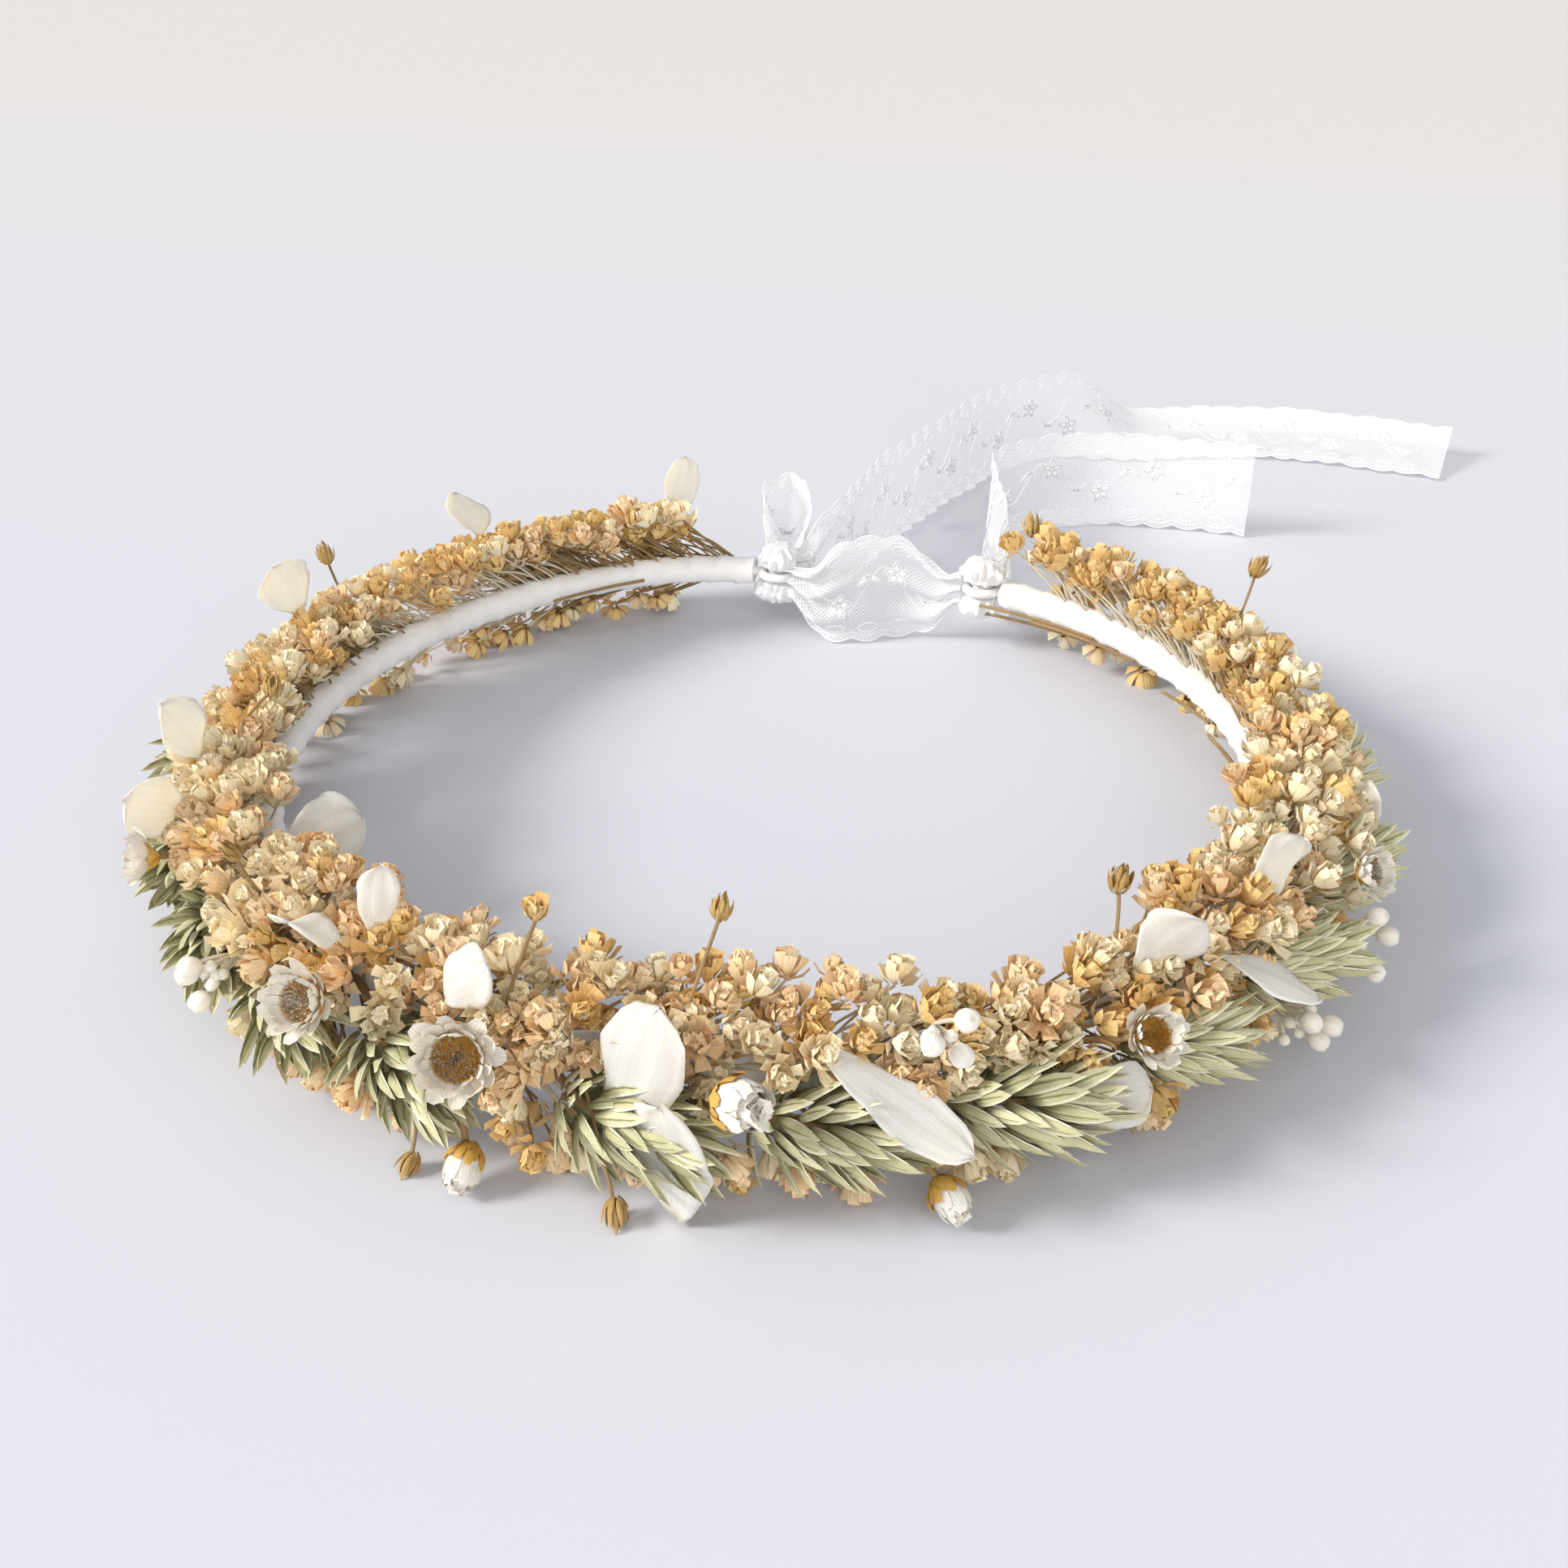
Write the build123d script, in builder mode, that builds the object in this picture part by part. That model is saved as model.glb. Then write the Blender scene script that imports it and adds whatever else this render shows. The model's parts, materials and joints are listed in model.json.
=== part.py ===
"""Dried-flower crown: an open ring of wire bound in white floral tape, dressed on its outer and
upper side with mini bouquets of canary grass, strawflowers, gypsophila, hydrangea petals, berries
and seed buds, and tied at the back with a lace ribbon.

+Z is up, the wearer's face looks along -Y and the gap at the back of the head is at +Y. The origin is
the centre of the head opening, on the surface that the crown rests on.
"""

import os
from math import cos, degrees, radians, sin

from build123d import *

os.makedirs("parts", exist_ok=True)

# ---- driving sizes, in millimetres and degrees ----
ring_radius = 90.0          # centreline of the bound wire
ring_height = 14.0          # that centreline above the table
front_azimuth = -90.0       # where the two halves of the ring meet
right_end_azimuth = 71.5    # where the tape stops, each side of the gap
left_bend_azimuth = -234.0  # where the left end starts to curl inwards
left_bend_radius = 48.0
left_end_turn = 31.0        # how far that curl turns

wire_radius = 1.0
stem_radius = 0.6
stem_count = 7
tape_wall = 0.5
layer_gap = 0.1             # between wire and stems, and between stems and tape
running_gap = 0.3           # between pieces that turn on each other
ribbon_gap = 0.2            # between a wire loop and the ribbons at its knot
knot_inset = 0.1            # a knot's widest part is this far inside its wire loop's outline

eyelet_radius = 3.6         # centreline of the wire loop at each back end
eyelet_reach = 2.0          # bare wire between the tape and the loop

ribbon_width = 25.0
ribbon_wall = 0.8
knot_height = 5.5
loop_rise = 2.0             # the loop stands this much higher than the tails
bridge_width = 19.0
bridge_rise = 2.0           # lower edge of the strip that crosses the gap

grass_length = 23.0
grass_radius = 5.2
daisy_radius = 6.0
floret_radius = 4.3
petal_wall = 0.8
berry_radius = 1.9
bud_radius = 2.4
stalk_radius = 0.45
stalk_gap = 0.6             # between the tape and the foot of a stalk

knot_radius = eyelet_radius + wire_radius - knot_inset     # covers the loop that it is tied round
edge_of_knot = eyelet_radius + wire_radius + ribbon_gap
stem_circle = wire_radius + layer_gap + stem_radius
tape_bore = stem_circle + stem_radius + layer_gap
tape_radius = tape_bore + tape_wall
to_ring_level = Location((0, 0, ring_height))

# Bouquets: where each head sits along the ring, in degrees.
left_grass = [-102, -115.5, -129, -143, -166, -190, -222]
right_grass = [-83, -68, -53, -37, -21.5, -5, 13, 43]
# Each gypsophila bunch is a run of florets over the tape and a run of florets down to the table.
left_bunches = [-106, -138, -170, -202, -231]
right_bunches = [-74, -42, -10, 22, 53]
bunch_spread = 11.5         # each bunch reaches this far each side of its azimuth


def ring_point(azimuth, outward=0.0, up=0.0):
    """A point so far outside and above the ring's centreline at an azimuth."""
    reach = ring_radius + outward
    a = radians(azimuth)
    return Vector(reach * cos(a), reach * sin(a), ring_height + up)


def heading(azimuth, along, outward, up):
    """A direction in the terms of the ring: along it anticlockwise, outward and up."""
    a = radians(azimuth)
    return Vector(
        outward * cos(a) - along * sin(a), outward * sin(a) + along * cos(a), up
    ).normalized()


def turning_plane(origin, axis):
    """A sketch plane whose x axis is the axis that the profile is turned about."""
    side = axis.cross(Vector(0, 0, 1))
    if side.length < 0.01:
        side = Vector(0, 1, 0)
    return Plane(origin=origin, x_dir=axis, z_dir=side.normalized())


def turned(origin, axis, outline):
    """Adds a solid of revolution whose outline is (along the axis, radius) corners."""
    with BuildSketch(turning_plane(origin, axis)) as profile:
        with BuildLine():
            Polyline(*outline, close=True)
        make_face()
    revolve(profile.sketch, axis=Axis(origin, axis))


def head_of_bracts(origin, axis, length, radius):
    """Adds an oval seed head: round at the stem end, pointed at the tip."""
    foot, tip = 0.22 * radius, 0.12 * radius
    with BuildSketch(turning_plane(origin, axis)) as profile:
        with BuildLine():
            Polyline((-length / 2, foot), (-length / 2, 0), (length / 2, 0), (length / 2, tip))
            Spline(
                (-length / 2, foot),
                (-0.28 * length, 0.86 * radius),
                (0, radius),
                (0.3 * length, 0.68 * radius),
                (length / 2, tip),
            )
        make_face()
    revolve(profile.sketch, axis=Axis(origin, axis))


def run_of_florets(origin, axis, length, radius, lumps=3):
    """Adds a lumpy run of packed florets, waisted between each lump and the next."""
    waist, end = 0.78 * radius, 0.35 * radius
    pitch = length / lumps
    with BuildSketch(turning_plane(origin, axis)) as profile:
        with BuildLine():
            Polyline((-length / 2, end), (-length / 2, 0), (length / 2, 0), (length / 2, end))
            for lump in range(lumps):
                left = -length / 2 + lump * pitch
                left_radius = end if lump == 0 else waist
                right_radius = end if lump == lumps - 1 else waist
                ThreePointArc(
                    (left, left_radius), (left + pitch / 2, radius), (left + pitch, right_radius)
                )
        make_face()
    revolve(profile.sketch, axis=Axis(origin, axis))


def stalk_with_head(start, end, head):
    """Adds a thin stalk that ends in a round head, as a bud or a berry has."""
    run = end - start
    length = run.length
    neck = (head**2 - stalk_radius**2) ** 0.5
    with BuildSketch(turning_plane(start, run.normalized())) as profile:
        with BuildLine():
            Polyline((length + head, 0), (0, 0), (0, stalk_radius), (length - neck, stalk_radius))
            ThreePointArc((length - neck, stalk_radius), (length, head), (length + head, 0))
        make_face()
    revolve(profile.sketch, axis=Axis(start, run.normalized()))


def stalk(start, end):
    """Adds a thin straight stalk."""
    run = end - start
    corners = [(0, 0), (0, stalk_radius), (run.length, stalk_radius), (run.length, 0)]
    turned(start, run.normalized(), corners)


def finish_part(builder, label):
    """Names a finished piece and writes its file."""
    builder.part.label = label
    export_step(builder.part, f"parts/{label}.step")


# ---- the ring's two centrelines, front to back ----
knuckle_turn = degrees((tape_radius + 2 * running_gap) / ring_radius)
left_bend_centre = (
    (ring_radius - left_bend_radius) * cos(radians(left_bend_azimuth)),
    (ring_radius - left_bend_radius) * sin(radians(left_bend_azimuth)),
)


def left_centreline(start, tail=0.0):
    """The left half's centreline, from an azimuth near the front, with a straight tail."""
    with BuildLine() as line:
        CenterArc((0, 0), ring_radius, start, left_bend_azimuth - start)
        end = CenterArc(left_bend_centre, left_bend_radius, left_bend_azimuth, -left_end_turn)
        if tail:
            Line(end @ 1, end @ 1 + (end % 1) * tail)
    return line.line.moved(to_ring_level)


def right_centreline(start, tail=0.0):
    """The right half's centreline, from an azimuth near the front, with a straight tail."""
    with BuildLine() as line:
        end = CenterArc((0, 0), ring_radius, start, right_end_azimuth - start)
        if tail:
            Line(end @ 1, end @ 1 + (end % 1) * tail)
    return line.line.moved(to_ring_level)


left_path = left_centreline(front_azimuth)
right_path = right_centreline(front_azimuth)
left_inner_path = left_centreline(front_azimuth - knuckle_turn)
right_inner_path = right_centreline(front_azimuth + knuckle_turn)
left_eye = left_path @ 1 + (left_path % 1) * (eyelet_reach + eyelet_radius)
right_eye = right_path @ 1 + (right_path % 1) * (eyelet_reach + eyelet_radius)
knuckle = ring_point(front_azimuth)

# ---- ring: wire with its eyelets ----
with BuildPart() as wire_left:
    left_wire_path = left_centreline(front_azimuth - knuckle_turn, eyelet_reach)
    with BuildSketch(Plane(origin=left_wire_path @ 0, z_dir=left_wire_path % 0)):
        Circle(wire_radius)
    sweep(path=left_wire_path)
    with Locations(left_eye):
        Torus(eyelet_radius, wire_radius)
finish_part(wire_left, "wire_left")

with BuildPart() as wire_right:
    right_wire_path = right_centreline(front_azimuth + knuckle_turn, eyelet_reach)
    with BuildSketch(Plane(origin=right_wire_path @ 0, z_dir=right_wire_path % 0)):
        Circle(wire_radius)
    sweep(path=right_wire_path)
    with Locations(right_eye):
        Torus(eyelet_radius, wire_radius)
finish_part(wire_right, "wire_right")

# ---- ring: the bouquets' stems, bound round the wire ----
for side, path in (("left", left_inner_path), ("right", right_inner_path)):
    with BuildPart() as stems:
        with BuildSketch(Plane(origin=path @ 0, z_dir=path % 0)):
            with PolarLocations(stem_circle, stem_count):
                Circle(stem_radius)
        sweep(path=path)
    finish_part(stems, f"bound_stems_{side}")

# ---- ring: the white tape over the stems, with the knuckle that the ring flexes at ----
with BuildPart() as tape_left:
    with BuildSketch(Plane(origin=left_path @ 0, z_dir=left_path % 0)):
        Circle(tape_radius)
        Circle(tape_bore, mode=Mode.SUBTRACT)
    sweep(path=left_path)
    with Locations(knuckle):
        Cylinder(tape_radius, 2 * tape_radius)
finish_part(tape_left, "tape_left")

with BuildPart() as tape_right:
    with BuildSketch(Plane(origin=right_path @ 0, z_dir=right_path % 0)):
        Circle(tape_radius)
        Circle(tape_bore, mode=Mode.SUBTRACT)
    sweep(path=right_path)
    with Locations(knuckle):
        Cylinder(tape_radius + running_gap, 3 * tape_radius, mode=Mode.SUBTRACT)
finish_part(tape_right, "tape_right")

# ---- canary grass heads ----
grass_outward = 12.6
grass_up = -0.8


def grass_name(side, number):
    return f"canary_grass_{side}_{number}"


for side, places in (("left", left_grass), ("right", right_grass)):
    for number, azimuth in enumerate(places, 1):
        middle = ring_point(azimuth, grass_outward, grass_up)
        with BuildPart() as grass:
            head_of_bracts(middle, heading(azimuth, 1.0, 0.42, 0.04), grass_length, grass_radius)
        finish_part(grass, grass_name(side, number))

# ---- gypsophila bunches: two lumpy runs of florets over the tape, one under it on the table ----
floret_runs = [           # (part of the spread, outward, up, length, share of the floret radius)
    (-0.5, 3.4, 10.6, 17.0, 1.0),
    (0.52, 5.0, 10.2, 16.0, 1.08),
]
low_run_place = -0.05
low_run_outward = 6.6
low_run_length = 13.0
for side, places in (("left", left_bunches), ("right", right_bunches)):
    for number, azimuth in enumerate(places, 1):
        with BuildPart() as bunch:
            for part, outward, up, length, share in floret_runs:
                spot = azimuth + part * bunch_spread
                way = heading(spot, 1, 0.1 * part, 0)
                run_of_florets(ring_point(spot, outward, up), way, length, floret_radius * share)
            spot = azimuth + low_run_place * bunch_spread
            low = ring_point(spot, low_run_outward, floret_radius - ring_height)
            run_of_florets(low, heading(spot, 1, 0, 0), low_run_length, floret_radius)
        finish_part(bunch, f"gypsophila_{side}_{number}")

# ---- strawflowers: open daisies, and the closed one whose bracts still fold over ----
open_daisies = {          # name: (azimuth, outward, up, share of the daisy radius)
    "strawflower_open_left_1": (-94.8, 17.6, 9.2, 1.0),
    "strawflower_open_left_2": (-108.6, 17.6, 9.0, 0.8),
    "strawflower_open_left_3": (-136.4, 18.2, 7.6, 0.75),
    "strawflower_open_right_1": (-44.6, 17.4, 8.8, 0.72),
    "strawflower_open_right_2": (-13.4, 17.4, 8.2, 0.7),
}
for name, (azimuth, outward, up, share) in open_daisies.items():
    reach = daisy_radius * share
    with BuildPart() as daisy:
        turned(
            ring_point(azimuth, outward, up),
            heading(azimuth, 0.1, 0.85, 0.5),
            [
                (-0.7 * reach, 0),
                (-0.7 * reach, 0.2 * reach),
                (-0.25 * reach, 0.62 * reach),
                (0.1 * reach, reach),
                (0.24 * reach, reach),
                (0.14 * reach, 0.52 * reach),
                (0.28 * reach, 0.42 * reach),
                (0.3 * reach, 0),
            ],
        )
    finish_part(daisy, name)

closed_daisies = {        # name: (azimuth, outward, up, share, lean along the ring and up)
    "strawflower_closed_right": (-75.4, 17.8, 9.0, 0.85, 0.45, 0.25),
    "strawflower_low_left": (-95.6, 15.6, -8.6, 0.8, 0.1, -0.55),
    "strawflower_low_right": (-60.2, 17.0, -8.6, 0.8, 0.35, -0.55),
}
for name, (azimuth, outward, up, share, along, rise) in closed_daisies.items():
    reach = daisy_radius * share
    with BuildPart() as daisy:
        turned(
            ring_point(azimuth, outward, up),
            heading(azimuth, along, 0.85, rise),
            [
                (-0.75 * reach, 0),
                (-0.75 * reach, 0.22 * reach),
                (-0.4 * reach, 0.72 * reach),
                (0.2 * reach, 0.86 * reach),
                (0.7 * reach, 0.6 * reach),
                (0.82 * reach, 0.2 * reach),
                (0.82 * reach, 0),
            ],
        )
    finish_part(daisy, name)

# ---- hydrangea petals, in groups ----
petal_groups = {          # name: [(azimuth, outward, up, half width, half height, facing)]
    "hydrangea_petals_left_1": [
        (-112.0, 11.5, 18.6, 5.0, 4.4, (0.2, 0.35, 0.9)),
        (-106.5, 7.0, 20.4, 2.6, 4.6, (0.6, 0.2, 0.35)),
    ],
    "hydrangea_petals_left_2": [
        (-137.0, -1.0, 17.6, 6.0, 5.6, (0.3, -0.75, 0.6)),
        (-149.5, 12.5, 17.0, 5.5, 5.0, (-0.1, 0.5, 0.8)),
    ],
    "hydrangea_petals_left_3": [
        (-183.0, 9.5, 17.4, 5.5, 5.5, (0.2, 0.4, 0.9)),
        (-212.0, 10.0, 17.6, 5.0, 5.5, (-0.2, 0.45, 0.85)),
    ],
    "hydrangea_petals_right_1": [
        (-76.2, 16.4, -3.6, 5.6, 8.6, (-0.85, 0.5, 0.05)),
        (-61.0, 17.6, 6.6, 4.0, 8.0, (0.75, 0.65, 0.2)),
    ],
    "hydrangea_petals_right_2": [
        (-46.2, 16.6, -6.4, 5.4, 6.0, (-0.5, 0.8, 0.1)),
        (-30.4, 16.6, 2.6, 4.2, 7.6, (0.7, 0.6, 0.35)),
        (-38.0, 11.5, 18.8, 5.6, 5.0, (0.1, 0.45, 0.9)),
    ],
    "hydrangea_petals_right_3": [
        (4.0, 15.6, 3.0, 4.4, 7.0, (0.7, 0.7, 0.1)),
        (33.0, 13.0, 4.0, 4.6, 7.4, (0.6, 0.75, 0.1)),
    ],
}
for name, petals in petal_groups.items():
    with BuildPart() as group:
        for azimuth, outward, up, half_width, half_height, facing in petals:
            normal = heading(azimuth, *facing)
            seat = Plane(
                origin=ring_point(azimuth, outward, up),
                x_dir=normal.cross(Vector(0, 0, 1)),
                z_dir=normal,
            )
            with BuildSketch(seat):
                Ellipse(half_width, half_height)
            extrude(amount=petal_wall / 2, both=True)
    finish_part(group, name)

# ---- sprays of white berries: a main stalk with a berry at the end of each branch ----
sprays = {                # name: (azimuth, outward and up of the fork, [(along, outward, up)])
    "white_berries_left": (-121.8, 13.0, 3.0, [(1.6, 9.0, 3.0), (-1.8, 8.6, -0.5), (0.4, 8.2, -4.4)]),
    "white_berries_right_1": (-60.6, 12.0, 14.2, [(1.6, 7.5, 1.0), (-2.6, 8.2, 4.0), (2.4, 6.4, 5.6)]),
    "white_berries_right_2": (-25.6, 13.0, -5.4, [(1.2, 9.6, 0.6), (-2.6, 8.0, 2.6), (2.6, 7.6, -4.0)]),
    "white_berries_right_3": (-13.5, 12.6, -4.2, [(1.6, 10.0, 1.8), (-2.0, 9.6, -3.0), (0.2, 8.0, 5.6)]),
}
for name, (azimuth, outward, up, branches) in sprays.items():
    fork = ring_point(azimuth, outward, up)
    root = ring_point(azimuth)
    foot = root + (fork - root).normalized() * (tape_radius + stalk_gap)
    with BuildPart() as spray:
        stalk(foot, fork)
        with Locations(fork):
            Sphere(1.4 * stalk_radius)
        for along, out, rise in branches:
            step = heading(azimuth, along, out, rise)
            reach = Vector(along, out, rise).length
            stalk_with_head(fork, fork + step * reach, berry_radius)
    finish_part(spray, name)

# ---- seed buds on their own long stalks, in groups ----
bud_groups = {            # name: [(azimuth, foot's lean (along, outward, up), length, bud size)]
    "seed_buds_left": [
        (-93.2, (0.1, 0.16, 1.0), 21.5, 1.0),
        (-99.2, (-0.1, 0.9, -0.62), 19.0, 0.8),
        (-122.0, (0.1, 0.5, 0.86), 23.0, 0.8),
        (-154.0, (0.1, -0.2, 1.0), 19.0, 0.9),
        (-189.0, (0.1, 0.3, 0.95), 21.0, 0.9),
    ],
    "seed_buds_right": [
        (-78.6, (0.12, -0.18, 1.0), 21.0, 0.85),
        (-86.6, (0.3, 0.95, -0.66), 19.0, 0.95),
        (-41.5, (0.05, 0.1, 1.0), 20.0, 0.95),
        (37.5, (0.1, 0.6, 0.8), 22.5, 1.0),
        (66.2, (0.5, 0.55, 0.75), 15.0, 1.1),
    ],
}
for name, buds in bud_groups.items():
    with BuildPart() as group:
        for azimuth, lean, length, share in buds:
            way = heading(azimuth, *lean)
            foot = ring_point(azimuth) + way * (tape_radius + stalk_gap)
            top = ring_point(azimuth) + way * length
            stalk_with_head(foot, top, bud_radius * share)
    finish_part(group, name)

# ---- ribbon ----
def standing_strip(route, low, high):
    """Adds a strip of ribbon that stands on its edge along a route of plan points."""
    with BuildSketch(Plane.XY.offset(low)) as strip:
        with BuildLine():
            Spline(*route)
        trace(line_width=ribbon_wall)
    extrude(strip.sketch, amount=high - low)


def knot(eye, label):
    """The ribbon's knot: a neck through the wire eyelet and a gathered lump above and below it."""
    neck = eyelet_radius - wire_radius - running_gap
    seat = wire_radius + running_gap
    with BuildPart() as lump:
        turned(
            eye,
            Vector(0, 0, 1),
            [
                (-seat - knot_height, 0),
                (-seat - knot_height, 0.6 * knot_radius),
                (-seat - 0.6 * knot_height, knot_radius),
                (-seat, 0.85 * knot_radius),
                (-seat, neck),
                (seat, neck),
                (seat, 0.85 * knot_radius),
                (seat + 0.6 * knot_height, knot_radius),
                (seat + knot_height, 0.55 * knot_radius),
                (seat + knot_height, 0),
            ],
        )
    finish_part(lump, label)


knot(left_eye, "left_knot")
knot(right_eye, "right_knot")


def beside(eye, angle):
    """A plan point at the edge of a knot, in a compass direction from its eyelet."""
    a = radians(angle)
    return (eye.X + edge_of_knot * cos(a), eye.Y + edge_of_knot * sin(a))


def from_eye(eye, *steps):
    """Plan points given as their distances from an eyelet, across and back."""
    return [(eye.X + across, eye.Y + back) for across, back in steps]


# where the long tail turns from its edge onto its flat side
tail_turn = from_eye(left_eye, (51.3, 144.7))[0]

with BuildPart() as left_loop:
    round_trip = from_eye(
        left_eye, (-5.7, 14.7), (-11.2, 26.7), (-7.7, 34.7), (-1.2, 29.7), (2.8, 16.7)
    )
    standing_strip(
        [beside(left_eye, 118), *round_trip, beside(left_eye, 86)], 0, ribbon_width + loop_rise
    )
finish_part(left_loop, "ribbon_loop_left")

with BuildPart() as left_tail:
    way_back = from_eye(
        left_eye, (8.3, 21.7), (11.3, 52.7), (17.3, 82.7), (27.3, 117.7), (37.3, 134.7)
    )
    standing_strip([beside(left_eye, 56), *way_back, tail_turn], 0, ribbon_width)
finish_part(left_tail, "ribbon_tail_left")

with BuildPart() as left_tail_end:
    with BuildSketch():
        with BuildLine():
            Spline(tail_turn, *from_eye(left_eye, (77.3, 158.7), (109.3, 166.7), (152.3, 161.7)))
        trace(line_width=ribbon_width)
    extrude(amount=ribbon_wall)
    with BuildSketch() as turn:
        with Locations(tail_turn):
            Circle(0.75 * ribbon_wall)
    extrude(turn.sketch, amount=ribbon_width, mode=Mode.SUBTRACT)
finish_part(left_tail_end, "ribbon_tail_left_end")

with BuildPart() as right_tail:
    way_back = from_eye(
        right_eye,
        (2.8, 16.9),
        (-1.2, 30.9),
        (-7.0, 46.9),
        (-8.8, 61.9),
        (0.5, 75.5),
        (21.8, 83.9),
        (53.8, 84.9),
    )
    standing_strip([beside(right_eye, 80), *way_back], 0, ribbon_width)
finish_part(right_tail, "ribbon_tail_right")

with BuildPart() as bridge:
    across = Vector(right_eye.X - left_eye.X, right_eye.Y - left_eye.Y)
    sags = [
        left_eye + across * share + Vector(0, sag)
        for share, sag in ((0.24, -5.9), (0.44, -3.4), (0.65, 0.6))
    ]
    standing_strip(
        [beside(left_eye, -35), *[(spot.X, spot.Y) for spot in sags], beside(right_eye, 185)],
        bridge_rise,
        bridge_rise + bridge_width,
    )
finish_part(bridge, "ribbon_bridge")
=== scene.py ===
# %% [markdown]
# # A dried-flower crown
# The crown is an open wire ring bound in white tape. Mini bouquets of dried flowers are bound to its
# outer and upper side, all pointing the same way round, and a lace ribbon is knotted through a wire
# eyelet at each back end. The frame below is the solid model of it: every flower here takes the
# place of one of its plain solids.

# %% Load the frame
import json
import math
import random

import bmesh
import bpy
from mathutils import Matrix, Vector

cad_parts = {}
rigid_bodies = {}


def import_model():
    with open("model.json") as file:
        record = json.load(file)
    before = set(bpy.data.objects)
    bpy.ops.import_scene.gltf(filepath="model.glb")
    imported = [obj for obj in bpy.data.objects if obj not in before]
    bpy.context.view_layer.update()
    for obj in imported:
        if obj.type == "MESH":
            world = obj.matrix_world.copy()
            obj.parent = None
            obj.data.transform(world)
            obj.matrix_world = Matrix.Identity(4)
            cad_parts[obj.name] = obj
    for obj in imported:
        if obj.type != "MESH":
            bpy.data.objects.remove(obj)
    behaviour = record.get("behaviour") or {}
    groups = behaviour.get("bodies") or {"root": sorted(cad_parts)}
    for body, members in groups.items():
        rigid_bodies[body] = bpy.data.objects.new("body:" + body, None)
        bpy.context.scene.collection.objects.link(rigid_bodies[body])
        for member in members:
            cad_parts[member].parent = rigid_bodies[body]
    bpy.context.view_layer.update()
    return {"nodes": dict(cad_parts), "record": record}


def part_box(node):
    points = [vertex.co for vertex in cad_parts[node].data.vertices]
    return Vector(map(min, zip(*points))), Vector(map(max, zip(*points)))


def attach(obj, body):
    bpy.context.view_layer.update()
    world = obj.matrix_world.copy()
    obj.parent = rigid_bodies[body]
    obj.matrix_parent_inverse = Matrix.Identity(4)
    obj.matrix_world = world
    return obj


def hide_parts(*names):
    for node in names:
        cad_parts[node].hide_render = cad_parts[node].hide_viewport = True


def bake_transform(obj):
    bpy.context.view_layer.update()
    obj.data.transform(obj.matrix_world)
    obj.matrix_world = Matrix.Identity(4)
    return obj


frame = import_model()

MM = 0.001
joints = {j["name"]: j for j in frame["record"]["behaviour"]["joints"]}
front = Vector(joints["ring_flex"]["pos_m"])
left_eye = Vector(joints["left_tie_swing"]["pos_m"])
right_eye = Vector(joints["right_tie_swing"]["pos_m"])
ring_radius = -front.y
ring_height = front.z
print("ring radius", ring_radius, "height", ring_height)

# %% [markdown]
# ## Places on the ring
# Nearly everything is placed by its azimuth round the ring and by how far it stands outward and up
# from the bound wire. Two small functions turn that into points and directions. The camera is at a
# seated person's eye, a little to the right of the front.


# %% Ring places, camera, floor and light
def around(azimuth, outward=0.0, up=0.0):
    """A point so many millimetres outward and up from the wire, at an azimuth in degrees."""
    a = math.radians(azimuth)
    reach = ring_radius + outward * MM
    return Vector((reach * math.cos(a), reach * math.sin(a), ring_height + up * MM))


def heading(azimuth, along, outward, up):
    """A direction in the terms of the ring: along it anticlockwise, outward and up."""
    a = math.radians(azimuth)
    return Vector(
        (outward * math.cos(a) - along * math.sin(a), outward * math.sin(a) + along * math.cos(a), up)
    ).normalized()


def azimuth_of(point):
    return math.degrees(math.atan2(point.y, point.x))


def middle(node):
    low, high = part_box(node)
    return (Vector(low) + Vector(high)) / 2


camera = bpy.data.objects.new("camera", bpy.data.cameras.new("camera"))
bpy.context.collection.objects.link(camera)
camera.location = (0.0820, -0.2602, 0.1643)
aim = Vector((0.0062, -0.0103, ring_height))
camera.rotation_euler = (aim - camera.location).to_track_quat("-Z", "Y").to_euler()
camera.data.angle = math.radians(50)
camera.data.clip_start = 0.01
bpy.context.scene.camera = camera


def soft_lamp(name, toward, strength, spread, colour):
    """A lamp so far away that it lights the whole floor evenly. Its spread softens the shadows."""
    lamp = bpy.data.objects.new(name, bpy.data.lights.new(name, "SUN"))
    bpy.context.collection.objects.link(lamp)
    lamp.rotation_euler = (-Vector(toward)).to_track_quat("-Z", "Y").to_euler()
    lamp.data.energy = strength
    lamp.data.angle = spread
    lamp.data.color = colour
    return lamp


soft_lamp("window", (-0.78, -0.42, 0.56), 3.1, 0.34, (1.0, 0.965, 0.92))
soft_lamp("fill", (0.45, -0.9, 0.38), 1.35, 1.0, (1.0, 0.98, 0.95))

world = bpy.data.worlds.new("soft_room")
bpy.context.scene.world = world
world.use_nodes = True
room = world.node_tree.nodes
room["Background"].inputs["Color"].default_value = (0.96, 0.97, 1.0, 1)
room["Background"].inputs["Strength"].default_value = 0.56
# the wall that the lens sees is as pale as the floor, though it lights the flowers less
wall = room.new("ShaderNodeBackground")
wall.inputs["Color"].default_value = (0.80, 0.785, 0.775, 1)
path, choose = room.new("ShaderNodeLightPath"), room.new("ShaderNodeMixShader")
for plug, socket in (
    (path.outputs["Is Camera Ray"], choose.inputs[0]),
    (room["Background"].outputs[0], choose.inputs[1]),
    (wall.outputs[0], choose.inputs[2]),
    (choose.outputs[0], room["World Output"].inputs["Surface"]),
):
    world.node_tree.links.new(plug, socket)
bpy.context.scene.view_settings.view_transform = "Standard"

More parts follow.
